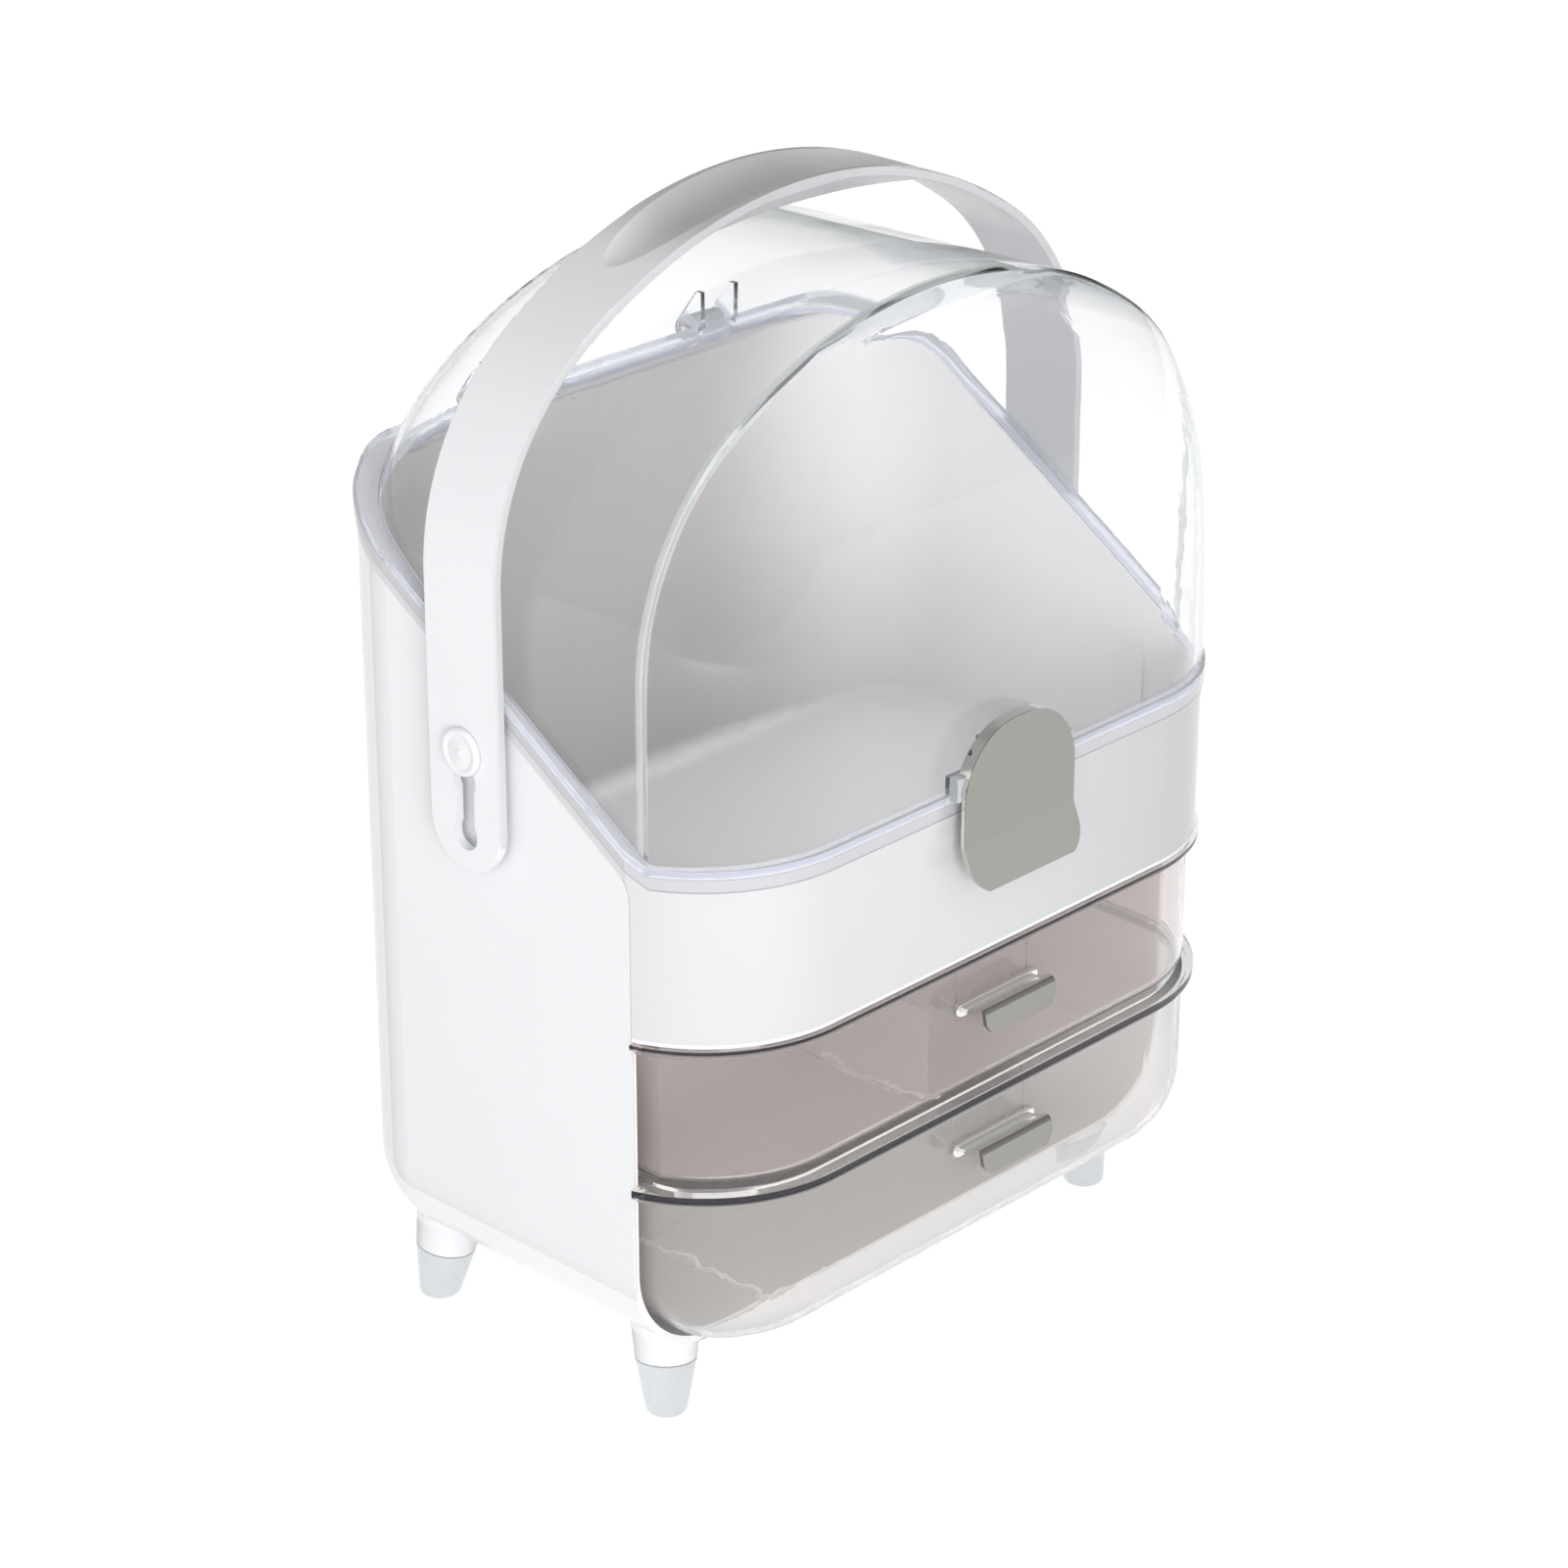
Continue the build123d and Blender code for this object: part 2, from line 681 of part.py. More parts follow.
with BuildPart() as latch_tab:
    lip_lean = radians(tab_lip_angle)
    lip_end = (tab_y - lip_run, tab_bend_z - tab_lip_length * cos(lip_lean))
    lip_foot_z = lip_end[1] - tab_plate * sin(lip_lean)
    with BuildSketch(Plane.YZ):
        with BuildLine():
            Polyline(
                (tab_y, tab_top_z),
                (tab_y, tab_bend_z),
                lip_end,
                (lip_end[0] + tab_plate * cos(lip_lean), lip_foot_z),
                (tab_y + tab_plate, tab_bend_z - tab_plate * tan(lip_lean / 2)),
                (tab_y + tab_plate, tab_top_z),
                close=True,
            )
        make_face()
    extrude(amount=tab_width / 2, both=True)
    with BuildSketch(Plane.XZ.offset(-tab_y + 2 * tab_lip_length)):
        add(tab_outline(0, lip_foot_z, tab_lip_corner))
    extrude(amount=-4 * tab_lip_length, mode=Mode.INTERSECT)
    with BuildSketch(Plane.XZ.offset(-tab_y)):
        add(tab_outline(0, tab_bend_z, 0))
        add(tab_outline(tab_wall, tab_bend_z, 0), mode=Mode.SUBTRACT)
        with Locations((0, tab_wall_z)):
            Rectangle(tab_width, far, align=(Align.CENTER, Align.MIN), mode=Mode.INTERSECT)
    extrude(amount=-tab_wall_depth)
    for side in (-1, 1):
        ear_x = (tab_lug_pitch + tab_lug_width + tab_ear_thickness) / 2 + seat_gap
        with BuildSketch(Plane.YZ.offset(side * ear_x)):
            with BuildLine():
                CenterArc((tab_pin_y, tab_pin_z), tab_knuckle_radius, 0, 360)
                Line(
                    (tab_y + tab_plate / 2, tab_pin_z - 2 * tab_knuckle_radius),
                    (tab_y + tab_plate / 2, tab_pin_z + tab_knuckle_radius),
                )
            make_hull()
        extrude(amount=tab_ear_thickness / 2, both=True)
    with Locations(Plane(origin=(0, tab_pin_y, tab_pin_z), z_dir=(1, 0, 0))):
        Cylinder(tab_pin_diameter / 2 + fit_gap, tab_width, mode=Mode.SUBTRACT)
    # Nib that lies under the rib of the tub, its end in line with the rib's front
    with BuildSketch(Plane.YZ):
        with BuildLine():
            Polyline(
                (tab_y + tab_plate / 2, catch_z - nib_drop),
                (front_y - catch_reach, catch_z - nib_drop),
                (front_y - catch_reach, catch_z - nib_drop - nib_height / 2),
                (tab_y + tab_plate / 2, catch_z - nib_drop - nib_height),
                close=True,
            )
        make_face()
    extrude(amount=nib_width / 2, both=True)
latch_tab.part.label = "latch_tab"
export_step(latch_tab.part, "parts/latch_tab.step")

with BuildPart(Plane(origin=(0, tab_pin_y, tab_pin_z), z_dir=(1, 0, 0))) as latch_pin:
    Cylinder(tab_pin_diameter / 2, 2 * ear_x + tab_ear_thickness)
latch_pin.part.label = "latch_pin"
export_step(latch_pin.part, "parts/latch_pin.step")


# Handle: a flat band bent to an arch, with a thumb trough and two waisted slots

def handle_arch(inset, foot_z, width):
    """The band's arch, filled in, set in by inset."""
    with BuildPart() as arch:
        with BuildSketch(Plane.XZ.offset(-pin_y)):
            add(arch_outline(
                handle_half - inset,
                handle_crown_z - inset,
                handle_crown_radius - inset,
                shoulder_radius - inset,
                foot_z,
            ))
        extrude(amount=width / 2, both=True)
    return arch.part


def grip_tube(radius):
    """Bent tube along the grip, flatter than the band, for the trough and its underside."""
    centre = (0, pin_y, handle_crown_z - grip_depth - grip_bend_radius)
    start = radians(grip_half_turn)
    with BuildPart() as tube:
        with BuildSketch(Plane(origin=centre, x_dir=(0, 1, 0), z_dir=(cos(start), 0, sin(start)))):
            with Locations((0, grip_bend_radius + grip_tube_radius)):
                Circle(radius)
        revolve(axis=Axis(centre, (0, 1, 0)), revolution_arc=2 * grip_half_turn)
    return tube.part


with BuildPart() as grip:
    add(handle_arch(0, pin_z, handle_width))
    add(grip_tube(grip_tube_radius), mode=Mode.INTERSECT)

with BuildPart() as handle:
    arm_foot_z = arm_end_z - handle_width / 2
    add(handle_arch(0, arm_foot_z, handle_width))
    arch_room = handle_arch(handle_thickness, arm_foot_z - handle_thickness, 2 * handle_width)
    add(arch_room, mode=Mode.SUBTRACT)
    with BuildSketch(Plane.YZ):
        with BuildLine():
            end_arc = CenterArc((pin_y, arm_end_z), handle_width / 2, 180, 180)
            Polyline(
                end_arc @ 1,
                (pin_y + handle_width / 2, arm_end_z + far),
                (pin_y - handle_width / 2, arm_end_z + far),
                end_arc @ 0,
            )
        make_face()
    extrude(amount=far, both=True, mode=Mode.INTERSECT)
    fillet(edges().filter_by(Axis.X, reverse=True), handle_edge_round)
    add(grip.part)
    add(grip_tube(grip_tube_radius - grip_skin), mode=Mode.SUBTRACT)
    with BuildSketch(Plane.YZ):
        for lobe_z in (slot_top_z, (slot_top_z + pin_z - slot_waist_drop) / 2, slot_end_z):
            with Locations((pin_y, lobe_z)):
                Circle(slot_width / 2)
        with Locations((pin_y, (slot_top_z + slot_end_z) / 2)):
            Rectangle(slot_waist, slot_top_z - slot_end_z)
    extrude(amount=far, both=True, mode=Mode.SUBTRACT)
handle.part.label = "handle"
export_step(handle.part, "parts/handle.step")


# Handle pivots: a round head, a shaft through slot and casing, and a clip inside

for side_name, side in (("left", -1), ("right", 1)):
    clip_x = casing_inner_half + clip_gap
    shoulder_x = clip_x + clip_thickness
    head_x = handle_half + seat_gap
    pivot_axis = Axis((0, pin_y, pin_z), (1, 0, 0))
    with BuildPart() as handle_pivot:
        with BuildSketch(Plane(origin=(0, pin_y, pin_z), x_dir=(side, 0, 0), z_dir=(0, -side, 0))):
            with BuildLine():
                Polyline(
                    (clip_x, 0),
                    (clip_x, clip_neck_diameter / 2),
                    (shoulder_x, clip_neck_diameter / 2),
                    (shoulder_x, pivot_diameter / 2),
                    (head_x, pivot_diameter / 2),
                    (head_x, pivot_head_diameter / 2),
                    (head_x + pivot_head_height - pivot_head_round, pivot_head_diameter / 2),
                    (head_x + pivot_head_height, pivot_head_diameter / 2 - pivot_head_round),
                    (head_x + pivot_head_height, 0),
                    close=True,
                )
            make_face()
        revolve(axis=pivot_axis)
    handle_pivot.part.label = "handle_pivot_" + side_name
    export_step(handle_pivot.part, "parts/handle_pivot_" + side_name + ".step")

    with BuildPart() as pivot_clip:
        with BuildSketch(Plane(origin=(side * clip_x, pin_y, pin_z), z_dir=(side, 0, 0))):
            Circle(clip_diameter / 2)
            Circle(clip_neck_diameter / 2 + fit_gap, mode=Mode.SUBTRACT)
        extrude(amount=clip_thickness)
    pivot_clip.part.label = "pivot_clip_" + side_name
    export_step(pivot_clip.part, "parts/pivot_clip_" + side_name + ".step")


# Drawers: clear bow-fronted trays that hang by their rims

def drawer_block(inset, floor_z, side_round, nose_round, top_z):
    """A drawer's outer form, set in by inset, up to top_z."""
    with BuildPart() as block:
        with BuildSketch(Plane.XY.offset(floor_z + inset)):
            add(plan_outline(
                drawer_half - inset,
                drawer_back_y - inset,
                drawer_back_round - inset,
                drawer_bow - inset,
            ))
        extrude(amount=top_z - floor_z - inset)
        low = edges().group_by(Axis.Z)[0]
        if side_round > nose_round:
            with BuildSketch(Plane.XZ.offset(-drawer_back_y)):
                add(trough_outline(drawer_half - inset, floor_z + inset, side_round - inset))
            extrude(amount=far, mode=Mode.INTERSECT)
            low = edges().filter_by_position(Axis.Z, floor_z, floor_z + 0.9 * side_round)
            low = low.filter_by(Axis.Y, reverse=True)
        fillet(low, nose_round - inset)
    return block.part


def drawer_flange(top_z, height, reach, side_half):
    """Rim of a drawer: a bow that laps the casing's front, and a run along each side."""
    bow = drawer_bow + reach
    lap_half = bow_straight + sqrt(bow**2 - bow_centre_back**2)
    with BuildPart() as flange:
        with BuildSketch(Plane.XY.offset(top_z - height)):
            add(plan_outline(lap_half, back_y, back_radius, bow))
            with Locations((0, edge_y - run_gap)):
                Rectangle(far, far, align=(Align.CENTER, Align.MIN), mode=Mode.SUBTRACT)
            add(plan_outline(side_half, drawer_back_y - drawer_wall, drawer_back_round, bow))
        extrude(amount=height)
    return flange.part


def pull_plane(pull_z):
    """Workplane on a drawer's front at its pull, facing out."""
    return Plane(origin=(0, drawer_front_y, pull_z), x_dir=(1, 0, 0), z_dir=(0, -1, 0))


def drawer_tray(floor_z, rim_z, rim_height_here, side_round, nose_round):
    """Whole drawer with its rim, the pad behind the pull and the holes for its pegs."""
    step_z = rim_z - rim_height_here
    pull_z = rim_z - pull_below_rim
    with BuildPart() as tray:
        add(drawer_block(0, floor_z, side_round, nose_round, rim_z))
        add(drawer_flange(rim_z, rim_height_here, drawer_rim_reach, casing_inner_half - run_gap))
        add(drawer_flange(step_z, drawer_step_height, drawer_step_reach, drawer_half))
        hollow = drawer_block(drawer_wall, floor_z, side_round, nose_round, rim_z + drawer_wall)
        add(hollow, mode=Mode.SUBTRACT)
        with BuildSketch(Plane.XZ.offset(-drawer_front_y - drawer_wall / 2)):
            with BuildLine():
                Polyline(
                    (-pull_width / 2, pull_z - pull_plate_height),
                    (pull_width / 2, pull_z - pull_plate_height),
                    (pull_width / 2, step_z),
                    (-pull_width / 2, step_z),
                    close=True,
                )
            make_face()
        extrude(amount=-(drawer_wall / 2 + pull_pad))
        with Locations(pull_plane(pull_z)):
            with GridLocations(peg_pitch, 1, 2, 1):
                Cylinder(peg_diameter / 2 + fit_gap, 4 * drawer_wall, mode=Mode.SUBTRACT)
    return tray.part


drawer_sizes = {
    "upper": (upper_floor_z, upper_rim_z, upper_rim_height, upper_edge_round, upper_edge_round),
    "lower": (lower_floor_z, lower_rim_z, lower_rim_height, lower_side_round, lower_nose_round),
}
for drawer_name, sizes in drawer_sizes.items():
    drawer_part = drawer_tray(*sizes)
    drawer_part.label = drawer_name + "_drawer"
    export_step(drawer_part, "parts/" + drawer_name + "_drawer.step")


# Divider that stands across the upper drawer

with BuildPart() as upper_divider:
    with BuildSketch(Plane.YZ.offset(divider_x)):
        with BuildLine():
            divider_front = drawer_front_y + drawer_wall + seat_gap
            divider_back = drawer_back_y - drawer_wall - seat_gap
            divider_foot = upper_floor_z + drawer_wall
            divider_top = upper_rim_z - divider_below_rim
            FilletPolyline(
                (divider_front, divider_top),
                (divider_front, divider_foot),
                (divider_back, divider_foot),
                (divider_back, divider_top),
                radius=upper_edge_round - drawer_wall,
            )
            Line((divider_back, divider_top), (divider_front, divider_top))
        make_face()
    extrude(amount=divider_thickness / 2, both=True)
upper_divider.part.label = "upper_divider"
export_step(upper_divider.part, "parts/upper_divider.step")


# Drawer pulls: a round-ended plate, a hollow neck, a crest and a hanging lip

def drawer_pull(pull_z):
    """One bent pull with the two pegs that hold it through the drawer's front."""
    with BuildPart() as pull:
        with BuildSketch(pull_plane(pull_z)):
            SlotOverall(pull_width + 2 * pull_plate_margin, pull_plate_height)
        extrude(amount=pull_plate_thickness)
        fillet(faces().sort_by(Axis.Y)[0].edges(), pull_plate_thickness / 2)
        with BuildSketch(Plane(origin=(0, drawer_front_y, pull_z), x_dir=(0, -1, 0), z_dir=(-1, 0, 0))):
            with BuildLine():
                dip = radians(pull_neck_dip)
                neck_start = (pull_plate_thickness / 2, 0)
                neck = JernArc(neck_start, (cos(dip), -sin(dip)), pull_neck_radius, pull_neck_turn)
                crest = JernArc(neck @ 1, neck % 1, pull_crest_radius, -pull_crest_turn)
                Line(crest @ 1, crest @ 1 + (crest % 1) * pull_lip)
            trace(line_width=pull_thickness)
        extrude(amount=pull_width / 2, both=True)
        lip_foot = faces().sort_by(Axis.Z)[0].center().Z
        with BuildSketch(pull_plane(pull_z)):
            with BuildLine():
                foot_y = lip_foot - pull_z - pull_thickness / 2
                FilletPolyline(
                    (-pull_width / 2, pull_lip),
                    (-pull_width / 2, foot_y),
                    (pull_width / 2, foot_y),
                    (pull_width / 2, pull_lip),
                    radius=pull_lip_corner,
                )
                Line((-pull_width / 2, pull_lip), (pull_width / 2, pull_lip))
            make_face()
            SlotOverall(pull_width + 2 * pull_plate_margin, pull_plate_height)
        extrude(amount=far, mode=Mode.INTERSECT)
        with Locations(pull_plane(pull_z)):
            with GridLocations(peg_pitch, 1, 2, 1):
                Cylinder(
                    peg_diameter / 2,
                    drawer_wall + pull_pad + peg_proud,
                    align=(Align.CENTER, Align.CENTER, Align.MAX),
                )
    return pull.part


for drawer_name, sizes in drawer_sizes.items():
    pull_part = drawer_pull(sizes[1] - pull_below_rim)
    pull_part.label = drawer_name + "_pull"
    export_step(pull_part, "parts/" + drawer_name + "_pull.step")
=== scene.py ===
import math

import bpy
import numpy as np
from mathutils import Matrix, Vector


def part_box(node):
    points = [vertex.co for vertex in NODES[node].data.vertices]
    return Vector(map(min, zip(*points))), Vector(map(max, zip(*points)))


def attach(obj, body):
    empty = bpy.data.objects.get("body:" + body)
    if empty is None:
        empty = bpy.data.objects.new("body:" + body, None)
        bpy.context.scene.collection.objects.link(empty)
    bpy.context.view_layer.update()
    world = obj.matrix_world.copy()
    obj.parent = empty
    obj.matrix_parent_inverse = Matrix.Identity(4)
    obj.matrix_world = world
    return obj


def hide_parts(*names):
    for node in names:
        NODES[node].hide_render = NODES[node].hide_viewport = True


bl_info = {
    "name": "Domed vanity case",
    "version": (1, 0, 0),
    "blender": (4, 5, 0),
    "location": "View3D > Sidebar > Vanity case",
    "description": "Finishes, small fittings and studio for a domed vanity case with drawers",
    "category": "Object",
}

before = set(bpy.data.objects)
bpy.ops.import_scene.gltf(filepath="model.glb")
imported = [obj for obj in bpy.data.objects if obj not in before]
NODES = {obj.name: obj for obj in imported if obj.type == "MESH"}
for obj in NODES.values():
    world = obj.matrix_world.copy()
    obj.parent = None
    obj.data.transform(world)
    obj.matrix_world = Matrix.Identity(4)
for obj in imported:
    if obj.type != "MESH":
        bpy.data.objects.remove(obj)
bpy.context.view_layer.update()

# Body of the CAD model, in metres. Its sides begin at EDGE_Y and end at BACK_Y
BODY_HALF = 0.140
BODY_DEPTH = 0.148
WALL = 0.0025
FLOOR_TOP = 0.0335
BACK_RADIUS = 0.035
CASING_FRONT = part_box("outer_casing")[0].y
BACK_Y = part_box("outer_casing")[1].y
EDGE_Y = BACK_Y - BODY_DEPTH

# Painted shadow in the gap, drawn as a brown line on the casing's front edge: how deep it goes, and how far
# in from each side it starts
GAP_SHADOW_DEPTH = 0.0004
GAP_SHADOW_INSET = 0.0011

# Rim line of the body: level in front of the kink, and sloping up behind it
RIM_Z = 0.221
RIM_SLOPE = math.tan(math.radians(33))
KINK_Y = EDGE_Y - 0.007

# Bowed front: a straight middle, and an arc at each end on a centre behind the edge
BOW_Y = EDGE_Y + 0.019
BOW_RADIUS = 0.058
BOW_STRAIGHT = BODY_HALF - BOW_RADIUS + 0.003

# Tub, which sits inside the casing with a small gap
TUB_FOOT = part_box("upper_tub")[0].z
TUB_WALL = 0.0022
TUB_INSET = WALL + 0.0003

# Lid: the ridge between its dome and its visor
CREASE_Y = EDGE_Y - 0.005
CREASE_AHEAD, CREASE_BEHIND = 0.0010, 0.0018
CREASE_OVER_RIM = 0.006

# Bands that follow the rim line, as heights over it: the tub's painted gap shadow line and grey band, and
# the lid's flange with its painted light
TUB_GAP_SHADOW_LINE = (-0.0052, -0.0046)
TUB_BAND = (-0.0046, 0.001)
LID_THICK = (-0.0003, 0.0035)
LID_VIOLET = (0.0008, 0.0026)

# Clasp: an upright plate that turns outwards below its bend
TAB_LOW, TAB_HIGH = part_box("latch_tab")
TAB_BEND_Z = RIM_Z - 0.0155
TAB_LIP_LENGTH = 0.0165
TAB_LIP_ANGLE = math.radians(22)
TAB_FACE_Y = TAB_LOW.y + TAB_LIP_LENGTH * math.sin(TAB_LIP_ANGLE)
TAB_FACE_SKIN = 0.0003
LUG_DEPTH = 0.012
LUG_SIDE_GAP = 0.003

# Pulls: the finger shelf, lightened by a painted reflection, begins behind the curl at the front
PULL_SHELF_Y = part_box("upper_pull")[0].y + 0.003

# Handle: its front edge, the thumb trough in its grip and the moulding mark left of that, each darkened by
# painted shade
HANDLE_FRONT_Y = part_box("handle")[0].y
HANDLE_FRONT_SKIN = 0.0006
HANDLE_FRONT_SHARE = 0.7
TROUGH_X = (-0.055, 0.03)
TROUGH_FOOT_Z = 0.37
GATE_MARK = (-0.0970, 0.0153, 0.3762)
GATE_MARK_SHARE = 0.7

# Handle pivots, along X from the neck inside the casing to the head outside the handle
PIVOT_LOW, PIVOT_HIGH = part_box("handle_pivot_right")
PIVOT_Y = (PIVOT_LOW.y + PIVOT_HIGH.y) / 2
PIVOT_Z = (PIVOT_LOW.z + PIVOT_HIGH.z) / 2
PIVOT_NECK_LENGTH = 0.0014
PIVOT_NECK_RADIUS = 0.0025
PIVOT_BARREL_RADIUS = 0.0041
PIVOT_HEAD_RADIUS = 0.0085
PIVOT_HEAD_HEIGHT = 0.002
PIVOT_DISH = 0.0003
PIVOT_BEVEL = 0.0001

# Round shoulder of the pivot's head: each point's depth below its end, and its step in from its radius
PIVOT_SHOULDER = ((0.0011, 0.0), (0.0008, 0.00004), (0.0004, 0.0002), (0.0001, 0.00055), (0.0, 0.0010))

# Refraction of the plastics, and how much light the clear ones let through or lose
WHITE_BEND = 1.49
LID_BEND = 1.36
SMOKY_BEND = 1.3
SMOKY_CLARITY = 0.88
SMOKY_DEEPER = 0.85
# Painted light: how far the lid's flange, crease and latch lugs turn pale and less clear
FLANGE_PAINTED_LIGHT_SHARE = 0.35
CREASE_PAINTED_LIGHT_SHARE = 0.45
LUG_PAINTED_LIGHT_SHARE = 0.5

# Fine structure of the finishes: noise scales, per metre
SHELL_GRAIN = 260.0
HANDLE_GRAIN = 420.0
BRIGHT_WAVE = 70.0
SATIN_WAVE = 45.0
WIRE_WAVE = 300.0

# Parts of the noise's range that turn into clouds, specks and changes of gloss, and what these shade
CLOUDS = (0.35, 0.65)
SPECKS = (0.62, 0.75)
WIPES = (0.35, 0.7)
GLOSS = (0.3, 0.7)
CLOUD_SHADE = 0.985
SPECK_SHADE = 0.93
SPECK_SHARE = 0.25
WIPE_SHADE = 0.975

# Parts of the range from square on to edge on, over which the casing darkens by painted shade and the clear
# plastic darkens
CASING_EDGE = (0.40, 0.95)
CLEAR_EDGE = (0.62, 0.95)

# Painted light, shade and reflection: where each changes, along X or by the height over a floor, and how
# much darker or brighter it makes the colour
TUB_SHADE_X = (-0.03, 0.125)
TUB_SHADE = 0.78
WALLS_LIT_X = (0.03, 0.137)
FLOOR_LIT_X = (-0.11, -0.02)
FLOOR_LIT_HEIGHT = (0.012, 0.003)
DRAWER_END_X = (0.085, 0.125)
DRAWER_FOOT_HEIGHT = (0.006, 0.022)
HANDLE_SHADE_X = (-0.07, 0.0)
HANDLE_SHADE = 0.84
TROUGH_SHADE = 0.66
LIP_REFLECTION = 1.9
CLASP_SIDE_REFLECTION = 2.3

# Painted highlight on each drawer's floor, a light line: half widths of its core and of all of it, its
# wobble and height
STREAK_HALF = (0.0008, 0.0018)
STREAK_WOBBLE = 0.003
STREAK_HEIGHT = 0.003
STREAK_HIGHLIGHT_SHARE = 0.85

# Each drawer's painted marks: the band of painted shade under its rim, and the X, front and back of its
# painted highlight line
UPPER_BAND = 0.0013
LOWER_BAND = 0.0026
BAND_SKIN = 0.0001
UPPER_STREAK = (-0.030, -0.098, -0.036)
LOWER_STREAK = (-0.079, -0.057, 0.012)

# Colours of single places on a finish; many are painted light, shade or reflection, as noted where they are
# used
GRAZING_SHADE = (0.52, 0.545, 0.56)
GAP_SHADOW_BROWN = (0.55, 0.50, 0.47)
RIM_BAND_GREY = (0.60, 0.60, 0.63)
RIM_GAP_SHADOW = (0.42, 0.42, 0.44)
LID_EDGE_GREY = (0.45, 0.49, 0.50)
LID_FLANGE_PAINTED_LIGHT = (0.91, 0.92, 0.95)
LID_PAINTED_PALE_GREY = (0.78, 0.81, 0.82)
UPPER_END_PAINTED_LIGHT = (0.96, 0.955, 0.955)
LOWER_END_PAINTED_SHADE = (0.76, 0.78, 0.785)
STREAK_HIGHLIGHT = (1.0, 0.99, 0.98)
PULL_SHELF_REFLECTION = (0.80, 0.795, 0.765)
WIRE_GREY = (0.72, 0.72, 0.74)
HANDLE_FRONT_SHADE = (0.62, 0.62, 0.64)
GATE_MARK_SHADE = (0.55, 0.56, 0.57)
FLOOR_DIM = (0.88, 0.88, 0.885)
FLOOR_PALE = (0.90, 0.90, 0.90)

# Studio, in metres and degrees
FLOOR_HALF = 6.0
FLOOR_POINTS = 21
BRIGHT_SKY_TOWARD = (-0.62, -0.75, -0.2)
SKY_FADE = (-0.9, 0.7)
LAMP_TARGET = (0, 0, 0.2)
KEY_PLACE, KEY_SIZE = (-2.1, -0.7, 0.7), 1.4
FILL_PLACE, FILL_SIZE = (-1.1, -1.9, 0.45), 1.0
CAMERA_PLACE = (-1.06805, -1.00781, 0.85601)
CAMERA_DOWN = 24.42
CAMERA_HEADING = -46.387


class VanityColours(bpy.types.PropertyGroup):
    """Colours of the finishes."""

    shell: bpy.props.FloatVectorProperty(
        name="Shell", description="White of the casing's outside",
        subtype="COLOR", size=3, default=(0.90, 0.91, 0.93), min=0, max=1,
    )
    tub: bpy.props.FloatVectorProperty(
        name="Tub", description="White of the tub's outside",
        subtype="COLOR", size=3, default=(0.71, 0.715, 0.725), min=0, max=1,
    )
    # Painted light: a paler white inside the casing and under the tub, which brightens the bay round the
    # drawers
    bay: bpy.props.FloatVectorProperty(
        name="Bay", description="White of the casing's inside, round the drawers",
        subtype="COLOR", size=3, default=(0.97, 0.955, 0.95), min=0, max=1,
    )
    # Painted shade and light inside the tub: warm grey on the left, paler grey to the right
    tub_inside_shaded: bpy.props.FloatVectorProperty(
        name="Tub inside", description="Warm grey of the tub's inner walls on the left",
        subtype="COLOR", size=3, default=(0.51, 0.487, 0.483), min=0, max=1,
    )
    tub_inside_lit: bpy.props.FloatVectorProperty(
        name="Tub inside, light", description="Paler grey of the tub's inner walls on the right",
        subtype="COLOR", size=3, default=(0.97, 0.965, 0.975), min=0, max=1,
    )
    handle: bpy.props.FloatVectorProperty(
        name="Handle", description="Off-white of the handle band and its pivots",
        subtype="COLOR", size=3, default=(0.90, 0.91, 0.93), min=0, max=1,
    )
    clear: bpy.props.FloatVectorProperty(
        name="Clear", description="Tint of the clear lid",
        subtype="COLOR", size=3, default=(0.985, 0.99, 0.995), min=0, max=1,
    )
    # Painted light: violet along the edge of the lid's flange
    flange: bpy.props.FloatVectorProperty(
        name="Flange", description="Violet tint in the thick flange of the lid",
        subtype="COLOR", size=3, default=(0.74, 0.76, 0.90), min=0, max=1,
    )
    smoke_upper: bpy.props.FloatVectorProperty(
        name="Smoke, upper", description="Warm tint of the upper drawer",
        subtype="COLOR", size=3, default=(0.89, 0.84, 0.825), min=0, max=1,
    )
    smoke_lower: bpy.props.FloatVectorProperty(
        name="Smoke, lower", description="Paler tint of the lower drawer",
        subtype="COLOR", size=3, default=(1.0, 0.97, 0.955), min=0, max=1,
    )
    # Painted shade in the drawers' thick rims, where the clear plastic is seen edge on
    rim_shade: bpy.props.FloatVectorProperty(
        name="Smoke rim", description="Tint in the thick rims of the drawers",
        subtype="COLOR", size=3, default=(0.03, 0.03, 0.045), min=0, max=1,
    )
    chrome: bpy.props.FloatVectorProperty(
        name="Chrome", description="Reflection of the plated pulls and clasp",
        subtype="COLOR", size=3, default=(0.33, 0.325, 0.305), min=0, max=1,
    )
    silver: bpy.props.FloatVectorProperty(
        name="Silver", description="Reflection of the foot tips",
        subtype="COLOR", size=3, default=(0.62, 0.65, 0.66), min=0, max=1,
    )


class VanitySizes(bpy.types.PropertyGroup):
    """Sizes of the small pieces."""

    pivot_dot: bpy.props.FloatProperty(
        name="Pivot dot", description="Radius of the dot in the middle of each pivot head",
        unit="LENGTH", default=0.0013, min=0.0002,
    )
    pivot_groove: bpy.props.FloatProperty(
        name="Pivot groove", description="Radius of the ring pressed into each pivot head",
        unit="LENGTH", default=0.0056, min=0.001,
    )
    gate_mark: bpy.props.FloatProperty(
        name="Gate mark", description="Radius of the moulding mark on the handle",
        unit="LENGTH", default=0.0021, min=0.0002,
    )


